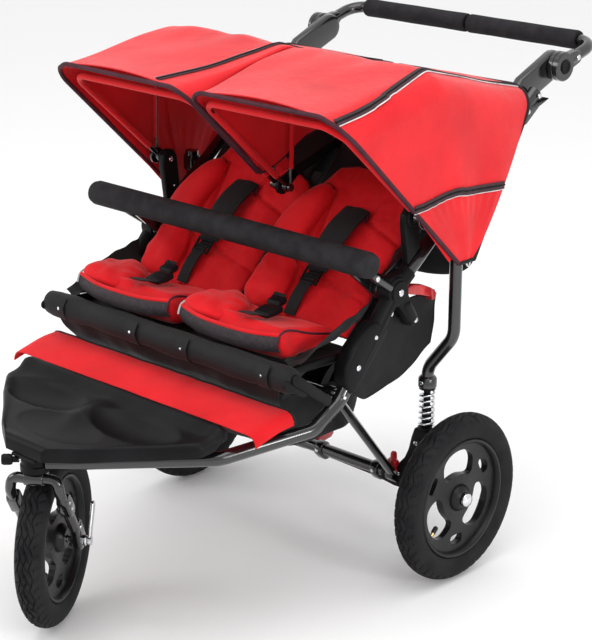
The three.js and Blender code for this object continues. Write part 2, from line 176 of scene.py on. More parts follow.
def turned(profile, centre, axis=(1, 0, 0), steps=48, closed=False):
    """A round piece. The profile's points are (radius, distance along the axis)."""
    mesh = bmesh.new()
    points = [*profile, profile[0]] if closed else profile
    line = [mesh.verts.new((distance, 0, radius)) for radius, distance in points]
    edges = [mesh.edges.new(pair) for pair in zip(line, line[1:])]
    bmesh.ops.spin(mesh, geom=line + edges, cent=(0, 0, 0), axis=(1, 0, 0), dvec=(0, 0, 0),
                   angle=2 * math.pi, steps=steps, use_merge=True, use_duplicate=False)
    bmesh.ops.remove_doubles(mesh, verts=mesh.verts, dist=0.01)
    bmesh.ops.recalc_face_normals(mesh, faces=mesh.faces)
    turn = Vector((1, 0, 0)).rotation_difference(Vector(axis)).to_matrix().to_4x4()
    bmesh.ops.transform(mesh, matrix=Matrix.Translation(centre) @ turn, verts=mesh.verts)
    return mesh


def together(*meshes):
    """Several bmeshes as one."""
    whole = meshes[0]
    for other in meshes[1:]:
        data = bpy.data.meshes.new("part")
        other.to_mesh(data)
        other.free()
        whole.from_mesh(data)
        bpy.data.meshes.remove(data)
    return whole


tyre_rubber = finish("tyre_rubber", (0.008, 0.008, 0.009), (0.016, 0.016, 0.017), (0.5, 0.75),
                     patches=30, grain=1400, depth=0.0003, Specular_IOR_Level=0.1)
crown_wall = [(108.3, 16.6), (112, 20.4), (120, 22.6), (129, 23), (136, 21.8)]
tread_line = [(150 - 9.5 * (abs(x) / 19) ** 2.4, x) for x in range(19, -20, -1)]


def tyre():
    wall = [(radius, -x) for radius, x in reversed(crown_wall)]
    mesh = turned(crown_wall + tread_line + wall, (0, 0, 0), steps=288, closed=True)
    for vertex in mesh.verts:
        x, y, z = vertex.co
        radius, angle = math.hypot(y, z), math.atan2(z, y)
        if radius < 139:
            continue
        sway = 3.0 * math.sin(24 * angle)
        rib = min(abs(x - sway), abs(x - 9.5 - 0.8 * sway), abs(x + 9.5 - 0.8 * sway))
        cut = rib < 1.15 or (abs(x) > 11.5 and math.sin(48 * angle + 0.3 * x) > 0.72)
        if cut or (abs(x) < 8 and math.sin(48 * angle - 0.5 * x) > 0.93):
            vertex.co.y, vertex.co.z = y * (radius - 2.3) / radius, z * (radius - 2.3) / radius
    return mesh


# ---- wheel rims ----
# Black moulded rims: a deep well for the tyre and three forked spokes between kidney-shaped
# openings. Each has a turned hub, a chrome cap and a brass valve with a black cap.
rim_plastic = finish("rim_plastic", (0.006, 0.006, 0.0065), (0.010, 0.010, 0.011), (0.26, 0.4), grain=700,
                     Specular_IOR_Level=0.25)
chrome = finish("chrome", (0.62, 0.63, 0.65), (0.80, 0.81, 0.83), (0.08, 0.2), grain=300, depth=0.00005,
                Metallic=1.0)
brass = finish("brass", (0.55, 0.36, 0.12), (0.72, 0.5, 0.2), (0.2, 0.35), Metallic=1.0)


def eased(value, power):
    return math.copysign(abs(value) ** power, value)


def opening(middle, radius, half_depth, half_angle):
    """A rounded window cutter through the spoke disc."""
    mesh = bmesh.new()
    ring = []
    for i in range(48):
        turn = 2 * math.pi * i / 48
        reach = radius + half_depth * eased(math.sin(turn), 0.75)
        angle = middle + half_angle * eased(math.cos(turn), 0.75) * (radius + 8) / (reach + 8)
        ring.append(mesh.verts.new((-30, reach * math.cos(angle), reach * math.sin(angle))))
    grown = bmesh.ops.extrude_face_region(mesh, geom=[mesh.faces.new(ring)])
    bmesh.ops.translate(mesh, vec=(60, 0, 0), verts=[v for v in grown["geom"] if isinstance(v, bmesh.types.BMVert)])
    bmesh.ops.holes_fill(mesh, edges=[e for e in mesh.edges if e.is_boundary])
    bmesh.ops.recalc_face_normals(mesh, faces=mesh.faces)
    return mesh


def holder_of(mesh, name):
    """A bare object for a modifier to work on."""
    data = bpy.data.meshes.new(name)
    mesh.to_mesh(data)
    mesh.free()
    holder = bpy.data.objects.new(name, data)
    bpy.context.scene.collection.objects.link(holder)
    return holder


def worked(holder):
    """The holder's mesh with its modifiers done, as a bmesh. The holder is removed."""
    bpy.context.view_layer.update()
    seen = holder.evaluated_get(bpy.context.evaluated_depsgraph_get())
    mesh = bmesh.new()
    mesh.from_mesh(seen.to_mesh())
    bpy.data.objects.remove(holder)
    return mesh


def spoke_disc():
    disc = holder_of(turned([(16, -10), (28, -9), (52, -6), (80, -5.5), (99, -9), (99, 9), (80, 5.5), (52, 6),
                             (28, 9), (16, 10)], (0, 0, 0), steps=96, closed=True), "disc")
    cutters = []
    for k in range(3):
        middle = 2 * math.pi * k / 3 + math.pi / 2
        cutters += [opening(middle, 64, 23, 0.66), opening(middle + math.pi / 3, 80, 9, 0.2)]
    tool = holder_of(together(*cutters), "windows")
    cut = disc.modifiers.new("windows", "BOOLEAN")
    cut.operation, cut.object, cut.solver = "DIFFERENCE", tool, "EXACT"
    edge = disc.modifiers.new("edge", "BEVEL")
    edge.width, edge.segments, edge.limit_method, edge.angle_limit = 1.4, 2, "ANGLE", math.radians(50)
    mesh = worked(disc)
    bpy.data.objects.remove(tool)
    return mesh


def rim():
    well = turned([(108.2, -16), (108.2, 16), (106, 18.6), (102.5, 19), (100, 16.5), (98, 9), (97, 3), (97, -3),
                   (98, -9), (100, -16.5), (102.5, -19), (106, -18.6)], (0, 0, 0), steps=96, closed=True)
    hub = turned([(6.6, -26), (13, -26), (15.5, -24), (18, -20), (24, -13), (25, -8), (25, 8), (24, 13), (19, 19),
                  (16, 22), (6.6, 22)], (0, 0, 0), closed=True)
    return together(well, hub, spoke_disc())


def add_wheel(name, place, tyre_body):
    """place carries the wheel's own frame, its axle along X, to the stroller."""
    made = []
    for part, mesh, material, slot, node in [
            ("tyre_tread", tyre(), tyre_rubber, "tyre_rubber", f"{name}_tyre"),
            ("spoked_rim", rim(), rim_plastic, "black_plastic", f"{name}_rim"),
            ("valve", turned([(0, 0), (3.1, 0.5), (3.1, 22), (0, 22)], (0, 0, 0), (0, 0, -1), 16), brass,
             "chrome", ()),
            ("valve_cap", turned([(0, 20), (4.2, 20), (4.4, 30), (3, 33), (0, 33.5)], (0, 0, 0), (0, 0, -1), 16),
             rim_plastic, "black_plastic", ())]:
        if part.startswith("valve"):
            bmesh.ops.translate(mesh, vec=(0, 0, 98), verts=mesh.verts)
            bmesh.ops.rotate(mesh, matrix=Matrix.Rotation(2.3, 3, "X"), verts=mesh.verts)
        bmesh.ops.transform(mesh, matrix=place, verts=mesh.verts)
        made.append(add_piece(f"{name}_{part}", mesh, material, tyre_body, slot, node))
    return made


for side, s in both_sides:
    place = Matrix.Translation((s * 328, 0, 150)) @ Matrix.Rotation(0 if s > 0 else math.pi, 4, "Z")
    add_wheel(f"rear_wheel_{side}", place, f"rear_wheel_{side}")
    add_piece(f"rear_hub_cap_{side}", turned([(0, 0), (0, -3.5), (5, -3.2), (10.5, -1), (12.5, 2), (12.5, 5), (0, 5)],
                                             (s * 357, 0, 150), (-s, 0, 0)), chrome, f"rear_wheel_{side}", "chrome")
castor = Matrix.Translation((0, -664, 0)) @ Matrix.Rotation(math.radians(31), 4, "Z")
add_wheel("front_wheel", castor @ Matrix.Translation((0, 78, 150)), "front_wheel")

# ---- front fork ----
# A gloss black steel tube bent into an arch over the front wheel. Pressed brackets hold the axle
# at its ends, and a quick-release lever closes it on the right.
gloss_black = finish("gloss_black", (0.004, 0.004, 0.0045), (0.008, 0.008, 0.009), (0.12, 0.24), patches=9,
                     grain=160, depth=0.00008, Coat_Weight=0.6, Coat_Roughness=0.08)
moulded_black = finish("moulded_black", (0.004, 0.004, 0.0045), (0.008, 0.008, 0.009), (0.36, 0.5), grain=1500,
                       depth=0.0001, Specular_IOR_Level=0.1)


def bent_line(corners, bend):
    """Straight runs whose corners are rounded with equal arcs."""
    points = [Vector(corner) for corner in corners]
    line = [points[0]]
    for before, corner, after in zip(points, points[1:], points[2:]):
        inward, outward = (corner - before).normalized(), (after - corner).normalized()
        turn = inward.angle(outward)
        if turn < 0.01:
            continue
        reach = min(bend * math.tan(turn / 2), (corner - before).length * 0.49, (after - corner).length * 0.49)
        radius = reach / math.tan(turn / 2)
        normal = (outward - inward * inward.dot(outward)).normalized()
        count = max(3, math.ceil(turn / 0.16))
        for k in range(count + 1):
            angle = turn * k / count
            line.append(corner - inward * reach + inward * radius * math.sin(angle)
                        + normal * radius * (1 - math.cos(angle)))
    return line + [points[-1]]


def tube(corners, radius, bend=30, around=5):
    """A round tube along a bent line."""
    curve = bpy.data.curves.new("line", "CURVE")
    curve.dimensions = "3D"
    curve.bevel_depth, curve.bevel_resolution, curve.use_fill_caps = radius, around, True
    points = bent_line(corners, bend)
    spline = curve.splines.new("POLY")
    spline.points.add(len(points) - 1)
    for target, point in zip(spline.points, points):
        target.co = (*point, 1)
    holder = bpy.data.objects.new("line", curve)
    data = bpy.data.meshes.new_from_object(holder)
    mesh = bmesh.new()
    mesh.from_mesh(data)
    bpy.data.objects.remove(holder)
    bpy.data.meshes.remove(data)
    bmesh.ops.remove_doubles(mesh, verts=mesh.verts, dist=0.001)
    bmesh.ops.recalc_face_normals(mesh, faces=mesh.faces)
    return mesh


def plate(outline, start, end, edge=1.5, place=Matrix.Identity(4)):
    """A plate seen from the side, with rounded edges: outline of (y, z), from one x to another."""
    mesh = bmesh.new()
    face = mesh.faces.new([mesh.verts.new((start, y, z)) for y, z in outline])
    grown = bmesh.ops.extrude_face_region(mesh, geom=[face])
    bmesh.ops.translate(mesh, vec=(end - start, 0, 0),
                        verts=[v for v in grown["geom"] if isinstance(v, bmesh.types.BMVert)])
    bmesh.ops.holes_fill(mesh, edges=[e for e in mesh.edges if e.is_boundary])
    bmesh.ops.recalc_face_normals(mesh, faces=mesh.faces)
    if edge:
        bmesh.ops.bevel(mesh, geom=[e for e in mesh.edges if e.calc_face_angle(0) > 0.6], offset=edge,
                        offset_type="OFFSET", affect="EDGES", segments=3, profile=0.5, material=-1,
                        clamp_overlap=True)
    bmesh.ops.transform(mesh, matrix=place, verts=mesh.verts)
    return mesh


def arm(start, start_radius, end, end_radius, steps=10):
    """Outline of a bar that tapers from one round end to the other."""
    heading = math.atan2(end[1] - start[1], end[0] - start[0])

    def half(centre, radius, first):
        turns = [heading + first + math.pi * i / steps for i in range(steps + 1)]
        return [(centre[0] + radius * math.cos(t), centre[1] + radius * math.sin(t)) for t in turns]

    return half(end, end_radius, -math.pi / 2) + half(start, start_radius, math.pi / 2)


def rivet(x, y, z, axis, radius=4, height=2.4):
    """The domed head of a bolt or rivet, standing on a face."""
    return turned([(0, -1), (radius, -1), (radius, height * 0.4), (radius * 0.75, height * 0.85), (0, height)],
                  (x, y, z), axis, 20)


def in_castor(mesh):
    bmesh.ops.transform(mesh, matrix=castor, verts=mesh.verts)
    return mesh


fork = [tube([(-42, 68, 168), (-42, -8, 268), (-38, -8, 291), (38, -8, 291), (42, -8, 268), (42, 68, 168)], 9, 24, 7),
        turned([(0, -8), (13, -8), (13, 4), (10, 6), (10, 39), (0, 39)], (0, -4, 290), (0, 0, 1)),
        plate(arm((-8, 291), 12, (8, 291), 12), -17, 17, 3)]
for s in (-1, 1):
    fork.append(plate(arm((78, 150), 15.5, (62, 182), 12), s * 35, s * 50.4, 2.5))
    fork.append(plate(arm((26, 226), 12, (8, 250), 12), s * 33, s * 52, 3))
add_piece("fork_arch", in_castor(together(*fork)), gloss_black, "castor", "black_tube", "front_fork")
fork_rivets = [rivet(s * 50.4, y, z, (s, 0, 0), 3.6) for s in (-1, 1) for y, z in ((63, 181), (22, 231), (12, 245))]
add_piece("fork_rivets", in_castor(together(*fork_rivets)), chrome, "castor", "chrome")
skewer = [turned([(0, -54), (5, -54), (5, 56), (0, 56)], (0, 78, 150)),
          turned([(0, -60), (7, -60), (9.6, -58), (10, -51), (0, -51)], (0, 78, 150), steps=24),
          turned([(0, 50.5), (9, 50.5), (9, 55), (6, 58), (0, 58)], (0, 78, 150), steps=24)]
add_piece("axle_skewer", in_castor(together(*skewer)), chrome, "castor", "chrome", "front_axle")
lever = together(plate(arm((78, 150), 6, (101, 205), 6.6), 58.4, 63.4, 2),
                 turned([(0, 57.8), (7.5, 57.8), (7.5, 64.5), (0, 65)], (0, 78, 150), steps=24))
add_piece("release_lever", in_castor(lever), chrome, "front_axle_lever", "chrome", "front_axle_lever")

# ---- swivel housing and its lock ----
# A moulded cup on the frame carries the fork's stem. A spring pin through its side, with a black
# knob, locks the wheel straight ahead.
cup = [turned([(10.6, 0), (22, 0), (25, 2.5), (25, 12), (23, 14), (23, 30), (20, 33), (10.6, 33)], (0, -664, 301.5),
              (0, 0, 1), closed=True), plate([(-690, 327), (-690, 333), (-560, 345), (-560, 325)], -30, 30, 3)]
add_piece("swivel_cup", together(*cup), moulded_black, "chassis", "black_plastic", "fork_housing")
knob_axis = Vector((-1, -1, 0)).normalized()
knob = turned([(0, 26), (5, 26), (5, 36), (8, 37), (9.2, 41), (9.2, 51), (7.5, 54), (0, 54)], (0, -664, 321),
              knob_axis)
add_piece("lock_knob", knob, moulded_black, "swivel_lock", "black_plastic", "swivel_lock_knob")
add_piece("lock_pin", turned([(0, 22), (3, 22), (3, 38), (0, 38)], (0, -664, 321), knob_axis, 20), chrome,
          "swivel_lock", "chrome")

# ---- front frame tubes ----
# Gloss black powder-coated steel tubes, which run down from the fold joints, turn in under the
# footrest and meet above the front wheel.
fold_joint = (-130, 545)


def along(start, angle, distance):
    return (start[0] + distance * math.cos(angle), start[1] + distance * math.sin(angle))


for side, s in both_sides:
    start = along(fold_joint, math.atan2(-115, -96), 10)
    add_piece(f"lower_tube_{side}", tube([(s * 288, *start), (s * 288, -262, 387), (s * 288, -323, 354),
                                          (s * 232, -480, 334), (s * 20, -658, 318)], 12, 44, 8),
              gloss_black, "chassis", "black_tube", f"front_tube_{side}")
    add_piece(f"tube_sleeve_{side}", together(
        plate([(-188, 508), (-214, 498), (-243, 474), (-262, 446), (-262, 420), (-250, 396), (-236, 400),
               (-214, 420), (-186, 452), (-160, 482), (-158, 494)], s * 273, s * 303, 6),
        tube([(s * 288, -142, 531), (s * 288, -218, 440)], 15.5, 10, 8)), moulded_black, "chassis", "black_plastic")
    add_piece(f"sleeve_bolts_{side}", together(*[rivet(s * x, y, z, (s, 0, 0), r) for x, y, z, r in
                                                 [(303, -232, 440, 5), (303, -190, 482, 4), (300, -262, 396, 3.4)]]),
              chrome, "chassis", "chrome")

# ---- fold joints ----
# Moulded black joints on each side, where the handle frame turns on the lower frame. A round cap
# covers the pin, and a red lever behind it frees the lock.
red_plastic = finish("red_plastic", (0.34, 0.006, 0.010), (0.55, 0.018, 0.022), (0.2, 0.34), patches=40, grain=600,
                     Coat_Weight=0.3, Subsurface_Weight=0.08)
for side, s in both_sides:
    joint = [turned([(0, 0), (25.6, 0), (26, 2), (26, 24), (24.5, 27), (20, 28.5), (19, 31.5), (0, 32.5)],
                    (s * 272, -130, 545), (s, 0, 0)),
             plate(arm((-130, 548), 17, (-90, 488), 11), s * 276, s * 300, 4),
             plate(arm((-136, 560), 12, (-112, 566), 10), s * 274, s * 296, 4),
             turned([(0, 0), (13, 0), (15.5, 3), (15.5, 38), (13, 42), (0, 42)], (s * 288, -111, 521),
                    (0, 0.55, -0.83)),
             tube([(s * 288, -117, 556), (s * 288, -96, 571)], 15, 10, 7)]
    add_piece(f"joint_cap_{side}", together(*joint), moulded_black, "chassis", "black_plastic", f"fold_joint_{side}")
    bolts = [rivet(s * x, y, z, (s, 0, 0), r) for x, y, z, r in [(300, -149, 513, 5), (300, -86, 487, 5),
                                                                 (304.3, -130, 545, 6)]]
    add_piece(f"joint_bolts_{side}", together(*bolts), chrome, "chassis", "chrome")
    lever = together(plate([(-100, 545), (-88, 548), (-60, 541), (-36, 530), (-31, 521), (-36, 514), (-62, 523),
                            (-88, 530), (-101, 534)], s * 281, s * 295, 3),
                     plate([(-42, 531), (-31, 527), (-28, 512), (-38, 508)], s * 279, s * 297, 3))
    add_piece(f"lock_lever_{side}", lever, red_plastic, f"fold_lever_{side}", "red_plastic", f"fold_lever_{side}")

# ---- handle frame ----
# Straight gloss black tubes from the fold joints up to the handlebar's hubs. A crimped socket with
# two bolts ends each tube, a steel cheek carries it at the joint, and a cross tube ties the hoods.
slope = math.atan2(280, 368)
handle_top = along(fold_joint, slope, 460)
across = slope + math.pi / 2
for side, s in both_sides:
    start = along(fold_joint, slope, 14)
    socket = [along(along(handle_top, slope, step), across, rise) for step, rise in
              [(-64, 16), (-64, -16), (-18, -17), (14, -27)]]
    socket += [along((312, 857), -1.35 + i * 0.335, 25.5) for i in range(11)] + [along(handle_top, across, 28)]
    parts = [tube([(s * 288, *start), (s * 288, *handle_top)], 12, 10, 8),
             plate(arm(fold_joint, 24, along(fold_joint, slope, 78), 13), s * 262, s * 271.6, 2),
             plate(arm(along(fold_joint, slope, 42), 9, along(fold_joint, slope, 74), 9), s * 268, s * 284, 3),
             plate(socket, s * 255, s * 274, 5), plate(socket[:4], s * 270, s * 303, 6),
             turned([(0, 290), (8, 290), (8, 306), (0, 306)], (0, -6, 639.5), (s, 0, 0), 24)]
    add_piece(f"handle_tube_smooth_{side}", together(*parts), gloss_black, "handle_frame", "black_tube",
              f"handle_tube_{side}")
    spots = [(*along(handle_top, slope, -46), 301), (*along(handle_top, slope, -8), 301)]
    add_piece(f"socket_bolts_{side}", together(*[rivet(s * (x + 2), y, z, (s, 0, 0), 4.4) for y, z, x in spots]),
              chrome,
              "handle_frame", "chrome")
add_piece("cross_tube", tube([(-275, 150, 756), (275, 150, 756)], 9, 10, 7), gloss_black, "handle_frame",
          "black_tube", "hood_cross_tube")
centre_arm = [plate(arm((136, 749), 9, (-70, 682), 9), -4, 4, 1.5), plate(arm((-95, 665), 15, (-70, 680), 10), -4,
                                                            4, 1.5)]
add_piece("centre_bracket", together(*centre_arm), moulded_black, "handle_frame", "black_plastic", "hood_centre_arm")
for side, s in both_sides:
    bracket = together(plate([(-103, 584), (-71, 609), (-77, 655), (-78, 668), (-86, 681), (-101, 682), (-112, 671),
                              (-113, 655)], s * 281, s * 295, 3),
                       turned([(0, 0), (15, 0), (15.5, 2), (14, 5), (0, 5.6)], (s * 295, -95, 665), (s, 0, 0)))
    add_piece(f"pivot_bracket_{side}", bracket, moulded_black, "handle_frame", "black_plastic",
              f"hood_bracket_{side}")
    add_piece(f"pivot_rivets_{side}", together(rivet(s * 281, -95, 664, (-s, 0, 0), 4.6),
                                               rivet(s * 281, -86, 612, (-s, 0, 0), 3.4)), chrome, "handle_frame",
              "chrome")

# ---- handlebar ----
# A gloss tube bow with round locking hubs at both ends. Each hub has a push button, and two
# charcoal foam grips cover the bar.
eva_foam = finish("eva_foam", (0.012, 0.0115, 0.013), (0.022, 0.021, 0.023), (0.75, 0.95), patches=45, grain=700,
                  depth=0.0006, Specular_IOR_Level=0.15)
rise = math.atan2(885 - 857, 413 - 312)
bar_start = along((312, 857), rise, 14)
bow = [tube([(-285, *bar_start), (-285, 413, 885), (285, 413, 885), (285, *bar_start)], 11, 34, 7)]
for side, s in both_sides:
    bow.append(turned([(13.4, 0), (24, 0), (26, 2), (26, 9), (24.4, 10), (24.4, 11.5), (26, 12.5), (26, 19.6),
                       (24, 21.6), (13.4, 21.6), (13.4, 14.6), (0, 14.6),
                       (0, 1)], (s * 274.4, 312, 857), (s, 0, 0)))
    bow.append(plate(arm((324, 861), 15, (352, 868), 12.5), s * 275.5, s * 294.5, 4))
add_piece("handle_bow", together(*bow), gloss_black, "handlebar", "black_tube", "handlebar")
for side, s in both_sides:
    add_piece(f"hub_push_{side}", turned([(0, 0), (12.8, 0), (12.8, 4), (11.5, 6), (8, 6), (7.5, 5), (0, 5)],
                                         (s * 292.8, 312, 857), (s, 0, 0)), moulded_black, f"hub_button_{side}",
              "black_plastic", f"hub_button_{side}")
    add_piece(f"hub_bolts_{side}", rivet(s * 294.5, 352, 868, (s, 0, 0), 5), chrome, "handlebar", "chrome")
    grip = turned([(11.2, 3.5), (16, 3.5), (17.3, 5.5), (17.5, 9), (17, 60), (17.4, 130), (17, 200), (17.5, 246),
                   (16.2, 250), (11.2, 250)], (0, 413, 885), (s, 0, 0), closed=True)
    add_piece(f"foam_grip_{side}", grip, eva_foam, "handlebar", "foam", f"handlebar_grip_{side}")

# ---- rear legs and springs ----
# Bent gloss black legs hang from the handle tubes. Each stands in a collar with a set screw, over
# a chrome coil spring round a black damper.
for side, s in both_sides:
    leg = [tube([(s * 262, -3, 338), (s * 262, -3, 372), (s * 318, -5, 442), (s * 318, -6, 651.5)], 11, 44, 7),
           turned([(0, 0), (14.5, 0), (16.3, 2), (16.3, 17), (14, 20), (11.5, 21)], (s * 262, -3, 336), (0, 0, 1)),
           turned([(0, 0), (12.5, 0), (12.5, 9), (0, 11)], (s * 318, -6, 650), (0, 0, 1)),
           plate(arm((-6, 645), 11.6, (-6, 628), 11.4), s * 306.8, s * 330, 3)]
    add_piece(f"bent_leg_{side}", together(*leg), gloss_black, "rear_legs", "black_tube", f"rear_leg_{side}")
    add_piece(f"collar_screw_{side}", together(rivet(s * 262, -19, 347, (0, -1, 0), 3.6),
                                               rivet(s * 330, -6, 640, (s, 0, 0), 6)), chrome, "rear_legs", "chrome")
    coil = [(s * 262 + 12.6 * math.cos(t), -3 + 12.6 * math.sin(t), 262 + 68 * t / (13 * math.pi))
            for t in [13 * math.pi * i / 156 for i in range(157)]]
    spring = add_piece(f"coil_spring_{side}", tube(coil, 2.2, 1, 3), chrome, "swing_pivot", "chrome",
                       f"suspension_spring_{side}")
    damper = turned([(0, 258.5), (15, 258.5), (15, 262), (8.4, 263), (8.4, 296), (6, 300), (6, 333), (14.5, 333),
                     (14.5, 335.6),
                     (0, 335.6)], (s * 262, -3, 0), (0, 0, 1), 36)
    damper = add_piece(f"damper_{side}", damper, moulded_black, "swing_pivot", "black_plastic")
    for piece in (spring, damper):
        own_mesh(piece)

# ---- rear axle, castings and struts ----
# The gloss black axle tube carries curved moulded castings under the springs and the stub axles of
# the wheels. Struts run forward to a rod through the frame, and red buttons let the wheels off.
for side, s in both_sides:
    outline = [(168, 138), (168, 163), (186, 167), (206, 178), (222, 196), (230, 214), (236, 238), (243, 258),
               (281, 258),
               (284, 240), (286, 214), (288, 186), (284, 160), (276, 141), (262, 137), (200, 134)]
    casting = plate([(-x, z) for x, z in outline], -13.5, 13.5, 4)
    bmesh.ops.rotate(casting, matrix=Matrix.Rotation(math.pi / 2, 3, "Z"), verts=casting.verts)
    if s < 0:
        bmesh.ops.rotate(casting, matrix=Matrix.Rotation(math.pi, 3, "Z"), verts=casting.verts)
    rib = plate([(-x, z) for x, z in [(196, 150), (234, 180), (250, 214), (252, 240), (272, 240), (272, 200),
                                      (258, 160),
                                      (236, 150)]], -16, 16, 3)
    bmesh.ops.rotate(rib, matrix=Matrix.Rotation(s * math.pi / 2, 3, "Z"), verts=rib.verts)
    casting = together(casting, rib, turned([(0, 262), (15, 262), (15, 290), (10, 296), (6.2, 298), (6.2, 352),
                                             (0, 352)],
                                            (0, 0, 150), (s, 0, 0)))
    for vertex in casting.verts:
        vertex.co.x = s * abs(vertex.co.x)
    bmesh.ops.recalc_face_normals(casting, faces=casting.faces)
    add_piece(f"leg_casting_{side}", casting, moulded_black, "rear_frame", "black_plastic", f"axle_gusset_{side}")
    add_piece(f"casting_bolts_{side}", together(rivet(s * 250, -16, 231, (0, -1, 0), 4.4),
                                                rivet(s * 212, -16, 163, (0, -1, 0), 3.6)), chrome, "rear_frame",
              "chrome")
    strut = together(tube([(s * 200, -14, 156), (s * 262, -246, 388)], 8, 10, 6),
                     turned([(6.3, 253), (11.5, 253), (11.5, 271), (6.3, 271)], (0, -254, 393), (s, 0, 0), 36, True),
                     plate(arm((-20, 160), 11, (-8, 152), 12), s * 192, s * 209, 3))
    add_piece(f"strut_{side}", strut, gloss_black, "rear_frame", "black_tube", f"axle_strut_{side}")
    push = turned([(0, 0), (6.4, 0), (7.4, 1.5), (7.4, 15), (6, 18), (0, 18.6)], (s * 196, -22, 184), (s, 0, 0), 24)
    push = together(push, plate(arm((-23, 200), 6, (-23, 170), 8), s * 203, s * 210, 2))
    add_piece(f"release_button_{side}", push, red_plastic, f"wheel_release_{side}", "red_plastic",
              f"wheel_release_{side}")
axle = [tube([(-175, 0, 150), (175, 0, 150)], 11, 10, 7)]
axle += [plate(arm((0, 150), 15, (6, 141), 13), x - 9, x + 9, 3) for x in (-96, 15, 150, -150)]
add_piece("axle_tube", together(*axle), gloss_black, "rear_frame", "black_tube", "rear_axle")
add_piece("axle_bolts", together(*[rivet(x, -15, 150, (0, -1, 0), 3.6) for x in (15, 150, -150)]), chrome,
          "rear_frame", "chrome")

# ---- parking brake ----
# A red see-through foot pedal behind the axle. Its two thin cables run under the axle tube to the
# wheels' drums, clipped along their whole length.
pedal = plate([(10, 158), (22, 163), (44, 168), (56, 165), (58, 158), (50, 151), (34, 149), (12, 142)], -82, -6, 4)
add_piece("foot_pedal", pedal, red_plastic, "brake_pedal", "red_plastic", "brake_pedal")
for side, s in both_sides:
    cable = tube([(s * 30, 4, 137), (s * 120, 5, 134), (s * 190, 8, 128), (s * 262, 10, 136), (s * 290, 6, 148)],
                 2.2, 30, 3)
    add_piece(f"brake_line_{side}", cable, moulded_black, "rear_frame", "black_plastic")

# ---- bumper bar ----
# Charcoal closed-cell foam sleeve over a steel bar. Steel arms carry it from the fold joints.
arms = []
heading = math.atan2(619 - 545, -235 + 130)
for side, s in both_sides:
    arms.append(plate(arm(fold_joint, 20, along(fold_joint, heading, math.hypot(74, 105) - 9), 9), s * 252,
                      s * 261.6, 2))
    arms.append(tube([(s * 296, -205, 597), (s * 296, -186, 580), (s * 296, -150, 556)], 7, 20, 5))
add_piece("bumper_arms", together(tube([(-262, -235, 619), (262, -235, 619)], 10), *arms), gloss_black, "bumper_bar",
          "black_tube", "bumper_frame")
sleeve = turned([(0, -335), (14, -334), (19.5, -330), (22, -322), (22, -160), (22.3, 0), (22, 160), (22, 322),
                 (19.5, 330),
                 (14, 334), (0, 335)], (0, -235, 619))
add_piece("foam_sleeve", sleeve, eva_foam, "bumper_bar", "foam", "bumper_foam")
add_piece("bumper_bolts", together(*[rivet(s * 302, -187, 581, (s, 0, 0), 5) for s in (-1, 1)]), chrome,
          "bumper_bar", "chrome")

# ---- footrest ----
# One black moulding across the front frame, with a raised rear ridge and a scooped hollow for
# each child's feet. A red fabric panel closes the gap behind it.
deck = bmesh.new()
bmesh.ops.create_grid(deck, x_segments=88, y_segments=48, size=0.5)
tilt = math.radians(5.5)


def deck_half_width(back):
    """Half the width of the moulding, at a distance in front of its rear edge."""
    stations = [(0, 238), (18, 246), (62, 240), (110, 190), (144, 148), (190, 96), (224, 44)]
    for (near, wide), (far, narrow) in zip(stations, stations[1:]):
        if back <= far:
            share = (back - near) / (far - near)
            return wide + (narrow - wide) * share
    return stations[-1][1]


def hollow(x, back, centre, depth):
    reach = ((x - centre[0]) / 92) ** 2 + ((back - centre[1]) / 42) ** 2
    return -depth * max(0.0, 1 - reach) ** 0.7


for vertex in deck.verts:
    across_share, back_share = vertex.co.x * 2, 0.5 - vertex.co.y
    back = 224 * back_share
    x = across_share * deck_half_width(back)
    lift = 12 * math.exp(-((back - 14) / 15) ** 2)
    lift += hollow(x, back, (-118, 78), 17) + hollow(x, back, (104, 78), 17)
    lift += hollow(x, back, (0, 150), 6)
    lift += 10 * math.exp(-((x / 24) ** 2 + ((back - 80) / 46) ** 2))
    rim_share = min(1 - abs(across_share), back_share * 2.4, (1 - back_share) * 1.6) * 10
    lift += 3 * math.exp(-((rim_share - 0.6) / 0.6) ** 2) - 7 * max(0.0, 1 - rim_share / 0.5) ** 2
    vertex.co = (x, -466 - back * math.cos(tilt) - lift * math.sin(tilt), 377 - back * math.sin(tilt) + lift)
wall = bmesh.ops.extrude_edge_only(deck, edges=[e for e in deck.edges if e.is_boundary])
for vertex in [v for v in wall["geom"] if isinstance(v, bmesh.types.BMVert)]:
    vertex.co.z -= 15
    vertex.co.x *= 0.985
bmesh.ops.holes_fill(deck, edges=[e for e in deck.edges if e.is_boundary])
bmesh.ops.recalc_face_normals(deck, faces=deck.faces)
add_piece("footrest_moulding", deck, moulded_black, "chassis", "black_plastic", "footrest_plate", crease=60)

# ---- footrest panel ----
# Bright red woven polyester, pulled tight over the front frame behind the footrest. Its ends wrap
# down round the tubes, and a black tape binds its rear edge.


